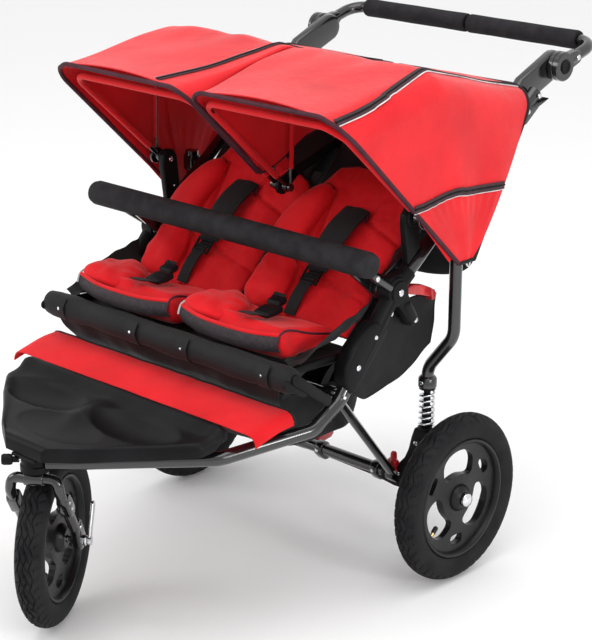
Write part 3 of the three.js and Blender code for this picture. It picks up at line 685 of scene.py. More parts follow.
def woven(name, deep, light, roughness=(0.62, 0.8), thread=0.0011, relief=0.00018, patches=9, **sockets):
    """Woven cloth: crossed threads as relief, cloudy colour, and fine slubs."""
    material, nodes, links, shader = new_material(name)
    patch = cloudy(nodes, links, patches, 5)
    links.new(colour_between(nodes, links, patch, deep, light, (0.3, 0.7)), shader.inputs["Base Color"])
    gloss = nodes.new("ShaderNodeMapRange")
    gloss.inputs["To Min"].default_value, gloss.inputs["To Max"].default_value = roughness
    links.new(cloudy(nodes, links, 240), gloss.inputs["Value"])
    links.new(gloss.outputs["Result"], shader.inputs["Roughness"])
    place = nodes.new("ShaderNodeTexCoord").outputs["Object"]
    height = None
    for axis in "XYZ":
        threads = nodes.new("ShaderNodeTexWave")
        threads.wave_type, threads.bands_direction = "BANDS", axis
        threads.inputs["Scale"].default_value = 0.314 / thread
        threads.inputs["Distortion"].default_value = 0.4
        links.new(place, threads.inputs["Vector"])
        if height is None:
            height = threads.outputs["Fac"]
            continue
        both = nodes.new("ShaderNodeMath")
        both.operation = "ADD"
        links.new(height, both.inputs[0])
        links.new(threads.outputs["Fac"], both.inputs[1])
        height = both.outputs["Value"]
    weave, crumple = nodes.new("ShaderNodeBump"), nodes.new("ShaderNodeBump")
    weave.inputs["Distance"].default_value = relief
    weave.inputs["Strength"].default_value = 0.5
    crumple.inputs["Distance"].default_value = 0.004
    crumple.inputs["Strength"].default_value = 0.35
    links.new(cloudy(nodes, links, 26, 4), crumple.inputs["Height"])
    links.new(crumple.outputs["Normal"], weave.inputs["Normal"])
    links.new(height, weave.inputs["Height"])
    links.new(weave.outputs["Normal"], shader.inputs["Normal"])
    for socket, value in sockets.items():
        shader.inputs[socket.replace("_", " ")].default_value = value
    return material


red_cloth = woven("red_cloth", (0.52, 0.003, 0.007), (0.70, 0.008, 0.013), Sheen_Weight=0.12, Sheen_Roughness=0.4,
                  Specular_IOR_Level=0.18)
black_cloth = woven("black_cloth", (0.004, 0.004, 0.0045), (0.009, 0.009, 0.010), Sheen_Weight=0.04,
                    Sheen_Roughness=0.4, Specular_IOR_Level=0.25)
maroon_tape = woven("maroon_tape", (0.030, 0.004, 0.010), (0.060, 0.010, 0.020), thread=0.0016, patches=60,
                    Specular_IOR_Level=0.3)


def smooth_line(points, per=8, closed=False):
    """A smooth line through the points, with per steps between each two."""
    points = [Vector(point) for point in points]
    count = len(points)
    line = []
    for i in range(count if closed else count - 1):
        if closed:
            a, b, c, d = (points[(i + k) % count] for k in (-1, 0, 1, 2))
        else:
            a, b, c, d = points[max(i - 1, 0)], points[i], points[i + 1], points[min(i + 2, count - 1)]
        for step in range(per):
            t = step / per
            line.append(0.5 * (2 * b + (c - a) * t + (2 * a - 5 * b + 4 * c - d) * t * t
                               + (3 * b - 3 * c + d - a) * t ** 3))
    return line if closed else line + [points[-1]]


def point_on(line, share):
    place = min(max(share, 0), 1) * (len(line) - 1)
    low = min(int(place), len(line) - 2)
    return line[low].lerp(line[low + 1], place - low)


def loft(surface, across, down, thickness=0.0):
    """A sheet whose point at shares (u, v) is surface(u, v), and its thickness."""
    mesh = bmesh.new()
    bmesh.ops.create_grid(mesh, x_segments=across, y_segments=down, size=0.5)
    for vertex in mesh.verts:
        vertex.co = surface(vertex.co.x + 0.5, vertex.co.y + 0.5)
    bmesh.ops.remove_doubles(mesh, verts=mesh.verts, dist=0.05)
    if thickness:
        bmesh.ops.solidify(mesh, geom=mesh.faces[:], thickness=thickness)
        bmesh.ops.recalc_face_normals(mesh, faces=mesh.faces)
    return mesh


def creased(point, size, scale):
    """A soft random height from the place, the same at each run."""
    return size * noise.noise(Vector(point) / scale)


def footrest_sheet(u, v):
    x = (2 * u - 1) * 306
    y, z = -376 - 88 * v, 398 - 16 * v + 3.5 * math.sin(math.pi * v)
    beyond = max(0, abs(x) - 278)
    if beyond:
        turn = min(beyond / 17, math.pi / 2)
        x = math.copysign(278 + 17 * math.sin(turn), x)
        z -= 17 * (1 - math.cos(turn)) + max(0, beyond - 17 * math.pi / 2)
    return (x, y, z + creased((x, y, z), 1.2, 40))


panel = add_piece("footrest_panel", loft(footrest_sheet, 96, 14, 1.6), red_cloth, "chassis", "red_fabric",
                  "footrest_fabric", crease=60)
tape = tube([Vector(footrest_sheet(i / 60, 0)) + Vector((0, 1, 0)) for i in range(61)], 3.2, 1, 3)
add_piece("footrest_tape", tape, black_cloth, "chassis", "black_fabric")

# ---- seat bar, rails and hammock ----
# The seat's front bar is a steel tube in a black padded sleeve, with webbing loops riveted to it.
# Rails run back from it, and a black cloth hammock under the seats hangs between them.
seat_bar = turned([(0, -296), (14, -296), (18, -293), (19.5, -286)] + [
    (20.6 + 1.1 * math.sin(x / 23), x) for x in range(-276, 280, 12)] + [(19.5, 286), (18, 293), (14, 296), (0, 296)],
    (0, -378, 454))
for vertex in seat_bar.verts:
    vertex.co.z += (-3 if vertex.co.z < 456 else 0) + creased(vertex.co, 2, 30)
sleeve = add_piece("seat_bar_sleeve", seat_bar, black_cloth, "chassis", "black_fabric", "seat_frame")
rails = [tube([(s * 264, -370, 456), (s * 264, -196, 450)], 8) for side, s in both_sides]
rails += [plate(arm((-392, 450), 8, (-352, 428), 8), s * 292, s * 297, 1.5) for side, s in both_sides]
rails += [plate(arm((-376, 456), 9, (-300, 400), 8), s * 296, s * 300, 1.5) for side, s in both_sides]
add_piece("seat_rails", together(*rails), moulded_black, "chassis", "black_tube")


def strap_along(points, width, thickness=1.8, across=(1, 0, 0), per=8):
    """Flat webbing along a smooth line. across is the way its width runs."""
    line = smooth_line(points, per)
    across = Vector(across).normalized()

    def surface(u, v):
        return point_on(line, v) + across * width * (u - 0.5)

    return loft(surface, 2, len(line) * 2, thickness)


loops = [strap_along([(x, -392, 474), (x, -401, 456), (x, -392, 436), (x, -374, 430)], 26) for x in (-246, -62,
                                                            62, 246)]
add_piece("bar_webbing", together(*loops), black_cloth, "chassis", "black_fabric")
add_piece("bar_rivets", together(*[rivet(x, -401, 456, (0, -1, 0), 3.6, 2) for x in (-246, -62, 62, 246)]), chrome,
          "chassis", "chrome")
hammock = loft(lambda u, v: ((2 * u - 1) * 262, -372 + 186 * v, 452 - 4 * v - 16 * math.sin(math.pi * v)
                             * (1 - (2 * u - 1) ** 4)), 40, 16, 1.6)
hammock = add_piece("seat_hammock_cloth", hammock, black_cloth, "chassis", "black_fabric", "seat_hammock")

apron = loft(lambda u, v: ((2 * u - 1) * (272 - 30 * v), -384 + 42 * v - 8 * math.sin(math.pi * v)
                           + creased((u * 500, v * 90, 7), 5, 40), 442 - 66 * v), 60, 14, 1.6)
apron = add_piece("front_apron", apron, black_cloth, "chassis", "black_fabric")
recline = math.radians(48)
divider = loft(lambda u, v: (18 * (u - 0.5), -190 + 20 * v + 252 * v * math.cos(recline),
                             450 + 300 * v * math.sin(recline)), 4, 24, 1.6)
add_piece("seat_divider", divider, black_cloth, "chassis", "black_fabric")
for s in (-1, 1):
    wing_line = smooth_line([(s * 250, -352, 470), (s * 252, -290, 474), (s * 252, -226, 480), (s * 254, -196, 492)])
    outer_line = smooth_line([(s * 284, -350, 470), (s * 282, -290, 500), (s * 280, -226, 520), (s * 278, -180, 532)])
    wing = loft(lambda u, v: point_on(wing_line, u).lerp(point_on(outer_line, u), v) + Vector(
        (0, 0, -7 * math.sin(math.pi * v) + creased((u * 160, v * 40, s), 5, 22))), 30, 8, 1.8)
    side_name = "right" if s > 0 else "left"
    wing = add_piece(f"seat_side_cloth_{side_name}", wing, black_cloth, "chassis", "black_fabric")

# ---- seat cushions ----
# Bright red padded cushions, blown up with a cloth simulation, then closed with black piping. The
# front edge carries a band of dark mesh under a red binding.
dark_mesh = woven("dark_mesh", (0.010, 0.007, 0.009), (0.035, 0.022, 0.028), thread=0.0026, relief=0.0008,
                  patches=120)
silver_piping = finish("silver_piping", (0.30, 0.30, 0.31), (0.46, 0.46, 0.47), (0.35, 0.5), patches=80)
metres, millimetres = Matrix.Scale(0.001, 4), Matrix.Scale(1000, 4)


def puffed(mesh, cap, voxel=0.006, pressure=4):
    """Voxel remesh, then Cloth with pressure for 20 frames, each point moved by at most cap."""
    bmesh.ops.transform(mesh, matrix=metres, verts=mesh.verts)
    holder = holder_of(mesh, "stuffing")
    skin = holder.modifiers.new("skin", "REMESH")
    skin.mode, skin.voxel_size = "VOXEL", voxel
    mesh = worked(holder)
    before = [vertex.co.copy() for vertex in mesh.verts]
    holder = holder_of(mesh, "stuffing")
    cloth = holder.modifiers.new("cloth", "CLOTH")
    cloth.settings.use_pressure = True
    cloth.settings.uniform_pressure_force = pressure
    cloth.settings.effector_weights.gravity = 0
    cloth.settings.quality = 5
    for number in range(1, 21):
        bpy.context.scene.frame_set(number)
    mesh = worked(holder)
    bpy.context.scene.frame_set(1)
    mesh.verts.ensure_lookup_table()
    for vertex, start in zip(mesh.verts, before):
        move = vertex.co - start
        if move.length > cap / 1000:
            vertex.co = start + move * (cap / 1000 / move.length)
    for _ in range(3):
        bmesh.ops.smooth_vert(mesh, verts=mesh.verts, factor=0.4, use_axis_x=True, use_axis_y=True, use_axis_z=True)
    bmesh.ops.transform(mesh, matrix=millimetres, verts=mesh.verts)
    return mesh


def pillow(outline, depth, middle_height, flat=0.62):
    """A stuffed shape: a ball drawn out to the flat outline, and depth thick each way."""
    ring = smooth_line([(x, y, 0) for x, y in outline], 6, True)
    centre = sum(ring, Vector()) / len(ring)
    mesh = bmesh.new()
    bmesh.ops.create_uvsphere(mesh, u_segments=56, v_segments=22, radius=1)
    reaches = sorted((math.atan2(p.y - centre.y, p.x - centre.x), (p - centre).length) for p in ring)
    for vertex in mesh.verts:
        x, y, z = vertex.co
        angle, share = math.atan2(y, x), math.hypot(x, y)
        below = max((r for r in reaches if r[0] <= angle), default=reaches[-1])
        above = min((r for r in reaches if r[0] > angle), default=reaches[0])
        span = (above[0] - below[0]) % (2 * math.pi) or 1
        reach = below[1] + (above[1] - below[1]) * ((angle - below[0]) % (2 * math.pi)) / span
        share = share ** flat
        vertex.co = (centre.x + reach * share * math.cos(angle), centre.y + reach * share * math.sin(angle),
                     middle_height + depth * eased(z, 0.9))
    return mesh


cushion_shape = plate([(-206, 466), (-208, 482), (-286, 491), (-340, 508), (-354, 508), (-360, 498), (-352, 478),
                       (-340, 468)], 12, 245, 6)
cushion = puffed(cushion_shape, 9)
for vertex in cushion.verts:
    x, y, z = vertex.co
    if z > 474:
        vertex.co.z -= 5 * math.exp(-((x - 128) / 9) ** 2) * min(1, max(0, (y + 356) / 40))
        vertex.co.z += creased((x, y, 0), 3.0, 34)
cushion_data = bpy.data.meshes.new("cushion")
cushion.to_mesh(cushion_data)
cushion.free()
for side, s in both_sides:
    mesh = bmesh.new()
    mesh.from_mesh(cushion_data)
    if s < 0:
        bmesh.ops.translate(mesh, vec=(-256, 0, 0), verts=mesh.verts)
    middle = 128 * s
    piece = add_piece(f"seat_cushion_{side}", mesh, red_cloth, "chassis", "red_fabric", f"seat_pad_{side}", 80)
    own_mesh(piece)
    bolster = pillow([(middle + x, y) for x, y in [(-112, -346), (-118, -300), (-104, -250), (-74, -236), (-38, -270),
                                                   (-22, -322), (-40, -352), (-84, -358)]], 17, 506)
    for vertex in bolster.verts:
        x, y, z = vertex.co
        vertex.co.z += 0.16 * (middle - 70 - x) + 0.08 * (-300 - y) + creased((x - middle, y, z), 5, 24)
    piece = add_piece(f"thigh_bolster_{side}", bolster, red_cloth, "chassis", "red_fabric", crease=80)
    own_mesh(piece)
    edge = [(middle - 112, -352, 510), (middle - 60, -365, 507), (middle, -368, 506), (middle + 60, -365, 507),
            (middle + 112, -352, 510)]
    lip = tube(smooth_line(edge), 3.4, 1, 3)
    piece = add_piece(f"cushion_binding_{side}", lip, red_cloth, "chassis", "red_fabric")
    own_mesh(piece)
    low = [(x, y + 4, z - 27) for x, y, z in edge]
    top_line, low_line = smooth_line(edge), smooth_line(low)
    band = loft(lambda u, v: point_on(top_line, u).lerp(point_on(low_line, u), v) + Vector((0, -5 * math.sin(
        math.pi * v) - 1, -2)), 48, 6, 1.5)
    piece = add_piece(f"cushion_mesh_band_{side}", band, dark_mesh, "chassis", "black_fabric")
    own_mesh(piece)
    for x, seam, finish_of in ((middle - 114, "left_piping", silver_piping), (middle + 114, "right_piping",
                                                            maroon_tape)):
        line = smooth_line([(x, -228, 484), (x, -280, 497), (x, -330, 514), (x, -352, 512), (x, -360, 496)])
        piece = add_piece(f"cushion_{seam}_{side}", tube(line, 2.0, 1, 3), finish_of, "chassis", "red_fabric")
        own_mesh(piece)

# ---- backrests ----
# A black padded panel reclines behind each child. A red quilted liner lies on it, stitched in
# slanting seams, with a puffed head wing at one side and dark piping round its edge.
back = Matrix.Translation((0, -205, 468)) @ Matrix.Rotation(recline, 4, "X")


def on_back(mesh):
    bmesh.ops.transform(mesh, matrix=back, verts=mesh.verts)
    return mesh


def liner_left(v):
    return 18 + 6 * v + 30 * max(0, v - 0.82) / 0.18


def liner_right(v):
    return 246 + 4 * math.sin(math.pi * v) + 26 * math.exp(-((v - 0.78) / 0.1) ** 2) - 60 * max(0, v - 0.86) / 0.14


def liner_height(x, up, v, edge_share):
    """How proud the quilted cloth stands of the back plane, with its stitched seams."""
    height = 15 * min(1, edge_share * 7) ** 0.5
    seams = [abs(up - (212 - 0.30 * (x - 170))) if x > 168 else 99,
             abs((x - 172) - 0.55 * (up - 220)) if up > 218 else 99,
             abs((x - 98) + 0.16 * (up - 120)) if up < 262 else 99,
             abs((up - 96) + 0.2 * (x - 130))]
    for seam in seams:
        height -= 5.5 * math.exp(-(seam / 4.5) ** 2)
    return height + 3.5 * math.sin(x / 19 + up / 47) * min(1, edge_share * 5) * 0.5


for side, s in both_sides:
    shift = 0 if s > 0 else -262
    shell = plate([(24, -44), (24, -16), (120, -13), (250, -12), (372, -16), (388, -24), (388, -42), (372, -47)],
                  14 + shift, 248 + shift, 7)
    shell = add_piece(f"backrest_panel_{side}", on_back(shell), black_cloth, f"backrest_{side}", "black_fabric",
                      f"backrest_{side}")

    def liner_sheet(u, v):
        left, right = liner_left(v), liner_right(v)
        x, up = left + (right - left) * u, 6 + 306 * v - 30 * max(0, u - 0.55) * v ** 3 - 34 * max(0,
                                                            0.25 - u) * v ** 3
        edge_share = min(u, 1 - u, (1 - v) * 1.2, v * 2 + 0.1)
        out = -9 + liner_height(x, up, v, edge_share) + creased((x, up, s * 50), 3.2, 36) + creased((x, up, 9),
                                                            1.2, 13)
        return (x + shift, up, out)

    liner = loft(liner_sheet, 84, 104)
    wall = bmesh.ops.extrude_edge_only(liner, edges=[e for e in liner.edges if e.is_boundary])
    for vertex in [v for v in wall["geom"] if isinstance(v, bmesh.types.BMVert)]:
        vertex.co.z = -12
    bmesh.ops.holes_fill(liner, edges=[e for e in liner.edges if e.is_boundary])
    bmesh.ops.recalc_face_normals(liner, faces=liner.faces)
    liner = add_piece(f"back_liner_{side}", on_back(liner), red_cloth, f"backrest_{side}", "red_fabric", crease=70)
    rim_line = [Vector(liner_sheet(0, i / 30)) for i in range(31)]
    rim_line += [Vector(liner_sheet(i / 20, 1)) for i in range(1, 21)]
    rim_line += [Vector(liner_sheet(1, 1 - i / 30)) for i in range(1, 31)]
    piping = tube(rim_line, 2.3, 1, 3)
    add_piece(f"liner_piping_{side}", on_back(piping), maroon_tape, f"backrest_{side}", "red_fabric")
    wing = pillow([(x + shift, up) for x, up in [(2, 120), (-2, 166), (12, 208), (34, 244), (56, 260), (74, 254),
                                                 (80, 226), (74, 180), (66, 140), (40, 112)]], 22, 8)
    wing = add_piece(f"head_wing_{side}", on_back(wing), red_cloth, f"backrest_{side}", "red_fabric", crease=80)
    wing_edge = [(x + shift, up, 10) for x, up in [(0, 150), (4, 184), (16, 214), (34, 243), (56, 259), (74, 253)]]
    add_piece(f"wing_piping_{side}", on_back(tube(smooth_line(wing_edge), 2.6, 1, 3)), maroon_tape,
              f"backrest_{side}", "red_fabric")
    hip = pillow([(x + shift, up) for x, up in [(14, 20), (11, 60), (18, 104), (40, 120), (78, 104), (92, 60),
                                                (84, 22),
                                                (44, 8)]], 24, 10)
    for vertex in hip.verts:
        vertex.co.z += creased(vertex.co, 5, 22)
    hip = add_piece(f"hip_bolster_{side}", on_back(hip), red_cloth, f"backrest_{side}", "red_fabric", crease=80)

# ---- harness ----
# Black webbing comes out of a piped slot high in each liner, wears a wide shoulder pad, and
# narrows below it, through a slider, to the buckle between the child's legs.
for side, s in both_sides:
    shift = 0 if s > 0 else -262
    pad = loft(lambda u, v: (150 + shift + (u - 0.5) * (50 - 12 * v ** 3) - 18 * v, 224 - 124 * v,
                             10 + 12 * math.sin(math.pi * min(1, v * 1.1)) + 4 * (1 - (2 * u - 1) ** 4)), 12, 40, 6)
    pad = add_piece(f"shoulder_pad_{side}", on_back(pad), black_cloth, f"backrest_{side}", "black_fabric")
    lower = loft(lambda u, v: (131 + shift + (u - 0.5) * 25 - 10 * v, 104 - 92 * v,
                               9 + 9 * math.sin(math.pi * v)), 2, 24,
                 1.8)
    add_piece(f"shoulder_webbing_{side}", on_back(lower), black_cloth, f"backrest_{side}", "black_fabric")
    slider = [plate(arm((x, up), 2.2, (x + 1, up), 2.2), 0, 34, 1) for x, up in ((0, 0), (12, 0), (24, 0))]
    slider = together(*slider, *[plate([(-3, -2), (27, -2), (27, 2), (-3, 2)], x, x + 3.4, 1) for x in (-2, 32.6)])
    bmesh.ops.translate(slider, vec=(114 + shift, 74, 17), verts=slider.verts)
    add_piece(f"strap_slider_{side}", on_back(slider), moulded_black, f"backrest_{side}", "black_plastic")
    slot = smooth_line([(126 + shift, 206, 11), (130 + shift, 222, 11), (150 + shift, 228, 11), (172 + shift, 222,
                                                            11),
                        (176 + shift, 206, 11)])
    add_piece(f"slot_piping_{side}", on_back(tube(slot, 2.6, 1, 3)), maroon_tape, f"backrest_{side}", "red_fabric")
    webbing = strap_along([(128 + shift, -232, 528), (134 + shift, -252, 520), (140 + shift, -268, 512),
                           (146 + shift, -286, 507)], 25)
    webbing = together(webbing, strap_along([(150 + shift, -340, 526), (150 + shift, -318, 520),
                                             (148 + shift, -296, 512)], 30))
    add_piece(f"lap_webbing_{side}", webbing, black_cloth, "chassis", "black_fabric")
    buckle = together(plate([(-302, 508), (-302, 517), (-278, 522), (-262, 520), (-262, 511), (-278, 508)],
                            132 + shift, 164 + shift, 3),
                      plate(arm((-240, 521), 6, (-252, 518), 6), 120 + shift, 146 + shift, 2))
    add_piece(f"harness_buckle_{side}", buckle, moulded_black, "chassis", "black_plastic")

# ---- side panels ----
# Black woven cloth closes each side between the front tube, the fold joint and the rear leg. Tape
# binds its edges.
for side, s in both_sides:
    top_edge = smooth_line([(s * 276, -196, 470), (s * 277, -150, 506), (s * 278, -70, 516), (s * 276, -8, 511)])
    low_edge = smooth_line([(s * 272, -214, 388), (s * 266, -166, 362), (s * 268, -84, 384), (s * 276, -17, 425)])

    def side_sheet(u, v):
        point = point_on(top_edge, u).lerp(point_on(low_edge, u), v)
        belly = math.sin(math.pi * u) * math.sin(math.pi * v)
        return point + Vector((s * (-6 * belly + creased(point, 5, 40)), 0, -3 * belly))

    cloth = add_piece(f"side_panel_{side}", loft(side_sheet, 36, 24, 1.6), black_cloth, "chassis", "black_fabric")
    tape = [tube([side_sheet(i / 30, v) for i in range(31)], 2.4, 1, 3) for v in (0, 1)]
    tape.append(tube([side_sheet(1, i / 12) for i in range(13)], 2.4, 1, 3))
    tape = add_piece(f"side_panel_tape_{side}", together(*tape), black_cloth, "chassis", "black_fabric")
    for piece in (cloth, tape):
        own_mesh(piece)

# ---- shopping basket ----
# A black cloth bag under the seats, open at the top. Its bound rim hangs between the tubes and its
# floor sags.


def basket_sheet(u, v):
    turn = 2 * math.pi * u
    depth = min(v / 0.55, 1)
    inward = 1 if v < 0.55 else 1 - (v - 0.55) / 0.45
    half_x, half_y = 205 - 8 * depth, 130 - 26 * depth
    x = half_x * eased(math.cos(turn), 0.45) * inward
    y = -200 + 5 * depth + half_y * eased(math.sin(turn), 0.45) * inward
    belly = 7 * math.sin(math.pi * depth) if v < 0.55 else 0
    z = 381 - 96 * depth ** 1.15 - (6 * (1 - inward * inward) if v >= 0.55 else 0)
    pull = 5 * math.cos(4 * turn) * (1 - depth)
    return (x + belly * math.cos(turn) + creased((x, y, z), 4, 45), y + belly * math.sin(turn),
            z - pull + creased((x, y, z + 90), 3, 50))


basket = loft(basket_sheet, 120, 44)
basket = together(basket)
bmesh.ops.remove_doubles(basket, verts=basket.verts, dist=0.6)
bmesh.ops.solidify(basket, geom=basket.faces[:], thickness=1.6)
basket = add_piece("shopping_basket", basket, black_cloth, "chassis", "black_fabric", "under_seat_basket", 70)
rim_tape = tube([basket_sheet(i / 96, 0) for i in range(97)], 3, 1, 3)
add_piece("basket_rim_tape", rim_tape, black_cloth, "chassis", "black_fabric")
hangers = [strap_along([(s * 205, y, 380), (s * 225, y - 2, 415), (s * 262, y - 4, 452)], 20, 1.6, (0, 1, 0))
           for side, s in both_sides for y in (-300, -206)]
add_piece("basket_hangers", together(*hangers), black_cloth, "chassis", "black_fabric")

# ---- rear storage bag ----
# A black cloth pouch across the back of the handle frame, fuller at its foot, with a flap and a
# bound top edge.
pouch = bmesh.new()
bmesh.ops.create_uvsphere(pouch, u_segments=96, v_segments=40, radius=1)
for vertex in pouch.verts:
    x, y, z = vertex.co
    wide, tall = eased(x, 0.42), eased(z, 0.5)
    full = 14 * (1 - 0.25 * tall)
    vertex.co = (262 * wide, 116 - 3.6 * tall + full * eased(y, 0.7) * (1.2 if y > 0 else 0.5),
                 592 + 98 * tall - 6 * (1 - wide * wide) * (tall < 0))
    vertex.co.y += creased(vertex.co, 3, 48)
pouch = add_piece("storage_pouch", pouch, black_cloth, "handle_frame", "black_fabric", "rear_storage_bag", 80)
flap = loft(lambda u, v: ((2 * u - 1) * 250, 134 + 3 * math.sin(math.pi * v) + creased((u * 500, v * 90, 0), 2, 40),
                          684 - 74 * v - 8 * math.sin(math.pi * u) * v), 60, 14, 1.6)
flap = add_piece("pouch_flap", flap, black_cloth, "handle_frame", "black_fabric")
flap_tape = tube([((2 * i / 60 - 1) * 250, 137, 610 - 8 * math.sin(math.pi * i / 60)) for i in range(61)], 2.4, 1, 3)
flap_tape = add_piece("pouch_flap_tape", flap_tape, maroon_tape, "handle_frame", "black_fabric")
hung = loft(lambda u, v: ((2 * u - 1) * 268, 102 + 40 * (1 - v) + 10 * math.sin(math.pi * v), 752 - 66 * v), 60,
            12, 1.6)
hung = add_piece("pouch_hanger", hung, black_cloth, "handle_frame", "black_fabric")
for piece in (pouch, flap, hung, flap_tape):
    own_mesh(piece)

# ---- hood bows ----
# Thin gloss black steel bows hold each hood out: a front bow on its own eye, and a middle bow on
# the ratchet disc at the hood's pivot.
front_angle, middle_angle = math.radians(138.3), math.radians(89)
hood_pivot = (-95, 665)
for side, s in both_sides:
    for part, angle, reach, near, far, radius, body, node, slot_name in [
            ("front_bow", front_angle, 275, 12, 312, 4, f"hood_{side}", f"hood_bow_{side}", "black_tube"),
            ("middle_bow", middle_angle, 226, 20, 319, 2.8, f"hood_ratchet_{side}", f"hood_ratchet_{side}",
             "black_tube")]:
        end = along(hood_pivot, angle, reach)
        bow = tube([(s * near, *hood_pivot), (s * near, *end), (s * far, *end), (s * far, *hood_pivot)], radius,
                   42, 4)
        if part == "front_bow":
            eyes = [(9, 4.8, 16), (9, 301.6, 316)]
        else:
            eyes = [(7, 16.8, 23.2), (15, 316.5, 322)]
        eyes = [turned([(0, a), (r - 1, a), (r, a + 1), (r, b - 1), (r - 1, b), (0, b)], (0, *hood_pivot), (s, 0,
                                                            0), 32)
                for r, a, b in eyes]
        add_piece(f"{part}_{side}", together(bow, *eyes), gloss_black, body, slot_name, node)

# ---- hoods ----
# Each hood is one curved sheet of bright red polyester over its bows, darker inside, from its
# front edge to its rear one. Tape binds it, and zips with white piping cross its top and its side.
hood_red = woven("hood_red", (0.54, 0.004, 0.009), (0.70, 0.010, 0.016), (0.5, 0.72), Sheen_Weight=0.28,
                 Sheen_Roughness=0.35, Specular_IOR_Level=0.25)
hood_lining = woven("hood_lining", (0.50, 0.002, 0.005), (0.66, 0.004, 0.009), (0.6, 0.8), Sheen_Weight=0.1,
                    Specular_IOR_Level=0.2)
zip_tape = woven("zip_tape", (0.016, 0.004, 0.007), (0.045, 0.008, 0.014), (0.5, 0.7), thread=0.0022, relief=0.0006,
                 patches=90)
white_piping = finish("white_piping", (0.5, 0.46, 0.47), (0.7, 0.66, 0.67), (0.4, 0.6), patches=60)


def ease_in(value):
    value = min(max(value, 0), 1)
    return value * value * (3 - 2 * value)


def hood_point(s, around, back_share):
    """A point of the cloth: around runs from the low outer corner over the top to the inner edge,
    and back_share from the front edge to the rear one."""
    v = back_share
    inner_width, inner_drop = 34 - 27 * ease_in(v / 0.3), 0.085 - 0.072 * ease_in(v / 0.3)
    if around < 0.33:
        x, h = 337, 0.86 * around / 0.33
    elif around < 0.43:
        turn = (around - 0.33) / 0.10 * math.pi / 2
        x, h = 337 - 42 * (1 - math.cos(turn)), 0.86 + 0.14 * math.sin(turn)
    elif around < 0.78:
        x, h = 295 + (3.5 + inner_width - 295) * (around - 0.43) / 0.35, 1
    elif around < 0.85:
        turn = (around - 0.78) / 0.07 * math.pi / 2
        x, h = 3.5 + inner_width * (1 - math.sin(turn)), 1 - inner_drop * (1 - math.cos(turn))
    else:
        share = (around - 0.85) / 0.15
        x, h = 3.5, 1 - inner_drop + (0.42 + 0.38 * v * v - 1 + inner_drop) * share
    top = 862 + 44 * ease_in(0.12 + 0.88 * min(v / 0.48, 1)) - 70 * max(0, v - 0.48) / 0.52
    crown = (1 - ((x - 172) / 168) ** 2) * ease_in((h - 0.86) / 0.14)
    top += crown * (12 * (1 - ease_in(v / 0.4)) + 5)
    sag = 5 * math.sin(math.pi * v / 0.46) if v < 0.46 else 9 * math.sin(math.pi * (v - 0.46) / 0.54)
    z = 580 + h * (top - 580) - sag * ease_in((h - 0.8) / 0.2) * (0.4 + 0.6 * crown)
    y = -26 - 300 * h + v * (40 + 490 * h)
    x -= 32 * v * v * h * h * ease_in((x - 60) / 200)
    if around < 0.40:
        fold = math.sin(2 * math.pi * (2.3 * v + 0.25 * h)) * 1.8 * math.sin(math.pi * min(h + 0.12, 1)) * (0.3 + v)
        pucker = 0.6 * math.sin(2 * math.pi * 11 * v) * math.exp(-((h - 0.34) / 0.07) ** 2)
        x += fold + pucker + 3
    ridge = math.exp(-((v - 0.47) / 0.10) ** 2) * ease_in((h - 0.7) / 0.3)
    z += creased((x, y * 0.3, s * 70), 4, 46) * ridge * (1 if around > 0.4 else 0.3)
    z += creased((x, y, s * 30 + 400), 4, 90) * ease_in((h - 0.8) / 0.2) * math.sin(math.pi * min(v * 1.02, 1))
    return Vector((s * x, y, z))


def hood_normal(s, around, back_share):
    a, v = min(max(around, 0.004), 0.996), min(max(back_share, 0.004), 0.996)
    one = hood_point(s, a + 0.003, v) - hood_point(s, a - 0.003, v)
    two = hood_point(s, a, v + 0.003) - hood_point(s, a, v - 0.003)
    return (two.cross(one) * s).normalized()


def hood_line(s, path, offset=0.0, lift=0.0, count=60):
    """Points above the cloth along a smooth path of (around, back_share), moved sideways by offset."""
    route = smooth_line([(a, v, 0) for a, v in path], 12)
    spots = [point_on(route, i / count) for i in range(count + 1)]
    line = [hood_point(s, spot.x, spot.y) for spot in spots]
    made = []
    for i, spot in enumerate(spots):
        heading = (line[min(i + 1, count)] - line[max(i - 1, 0)]).normalized()
        normal = hood_normal(s, spot.x, spot.y)
        made.append(line[i] + normal.cross(heading).normalized() * offset + normal * lift)
    return made


def hood_strip(s, path, left, right, lift, thickness=1.2, count=60):
    one, two = hood_line(s, path, left, lift, count), hood_line(s, path, right, lift, count)
    holder = holder_of(loft(lambda u, v: point_on(one, v).lerp(point_on(two, v), u), 3, count), "strip")
    holder.modifiers.new("wall", "SOLIDIFY").thickness = thickness
    return worked(holder)


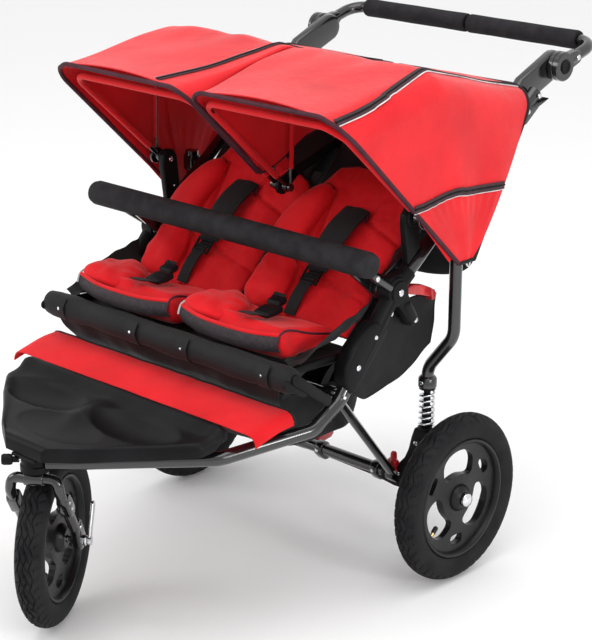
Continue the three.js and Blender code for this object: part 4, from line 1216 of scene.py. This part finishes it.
for side, s in both_sides:
    def add_hood_piece(name, mesh, material, slot_name, stands_for=()):
        piece = add_piece(f"{name}_{side}", mesh, material, None, slot_name, stands_for, crease=70)
        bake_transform(piece)
        return piece

    cloth = loft(lambda u, v: hood_point(s, u, v), 132, 72)
    cloth.faces.ensure_lookup_table()
    top_face = max(cloth.faces, key=lambda face: face.calc_center_median().z)
    if top_face.normal.z < 0:
        bmesh.ops.reverse_faces(cloth, faces=cloth.faces)
    holder = holder_of(cloth, "cloth")
    wall = holder.modifiers.new("wall", "SOLIDIFY")
    wall.thickness, wall.offset, wall.material_offset = 2.0, -1, 1
    holder.data.materials.append(hood_red)
    holder.data.materials.append(hood_lining)
    hood = add_hood_piece("hood", worked(holder), [hood_red, hood_lining], "red_fabric", f"canopy_{side}")
    bindings = [tube(hood_line(s, [(i / 24, 0) for i in range(25)], 0, -1, 180), 4, 1, 3)]
    bindings.append(tube(hood_line(s, [(1, i / 8) for i in range(9)], 0, 0, 40), 2.8, 1, 3))
    add_hood_piece("hood_front_tape", together(*bindings), maroon_tape, "red_fabric")
    rear = [tube(hood_line(s, [(i / 24, 1) for i in range(25)], 0, -1, 150), 4, 1, 3),
            tube(hood_line(s, [(0, i / 4) for i in range(5)], 0, 0, 12), 3.4, 1, 3)]
    add_hood_piece("hood_rear_tape", together(*rear), black_cloth, "black_fabric")
    top_path = [(0.395, 0.01), (0.40, 0.25), (0.425, 0.5), (0.43, 0.8), (0.415, 0.985)] if s > 0 else [
        (0.735, 0.01), (0.742, 0.25), (0.76, 0.5), (0.765, 0.8), (0.76, 0.985)]
    side_path = [(0.157, 0.01), (0.150, 0.3), (0.150, 0.6), (0.168, 0.985)]
    for zip_name, path in (("top", top_path), ("side", side_path)):
        add_hood_piece(f"{zip_name}_zip_tape", hood_strip(s, path, -6.5, 6.5, 1.2), zip_tape, "black_fabric")
        add_hood_piece(f"{zip_name}_zip_teeth", tube(hood_line(s, path, 0, 2.0, 90), 1.9, 1, 2), moulded_black,
                       "black_plastic")
        below = -7.4 if (zip_name == "side" or s > 0) else 7.4
        add_hood_piece(f"{zip_name}_zip_piping", tube(hood_line(s, path, below, 1.0, 90), 1.1, 1, 2), white_piping,
                       "red_fabric")
    inside = hood_strip(s, [(0.02 + 0.96 * i / 20, 0.065) for i in range(21)], -13, 13, -4.6, 1.0, 130)
    add_hood_piece("hood_inner_strip", inside, red_cloth, "red_fabric")
    seam = hood_strip(s, [(0.06 + 0.90 * i / 20, 0.47) for i in range(21)], -7, 7, -4.2, 1.0, 110)
    add_hood_piece("hood_ridge_strip", seam, hood_lining, "red_fabric")
    for place, angle, reach, near, far, body, radius in (
            ("front", front_angle, 275, 11, 311, f"hood_{side}", 5.5),
            ("middle", middle_angle, 226, 21.2, 320.4, f"hood_ratchet_{side}", 3.9)):
        low, end = along(hood_pivot, angle, 34), along(hood_pivot, angle, reach)
        sleeve = tube([(s * near, *low), (s * near, *end), (s * far, *end), (s * far, *low)], radius, 38, 6)
        for vertex in sleeve.verts:
            vertex.co.z += creased(vertex.co, 1.5, 26)
        add_piece(f"{place}_bow_sleeve_{side}", sleeve, hood_lining, body, "red_fabric", crease=80)
    tip = tube([(s * 336, -8, 584), (s * 337, -2, 574), (s * 337, 6, 566), (s * 336, 8, 578)], 1.6, 4, 3)
    piece = add_piece(f"hood_tip_wire_{side}", tip, chrome, f"hood_ratchet_{side}", "chrome")

# ---- strut pivot rod ----
# A plated steel rod, turned to shape, runs through the frame and carries the struts' front ends.
rod = turned([(0, -275), (5, -275), (6, -274), (6, 274), (5, 275), (0, 275)], (0, -254, 393), steps=32)
add_piece("pivot_rod", rod, chrome, "swing_pivot", "chrome", "strut_pivot_rod")
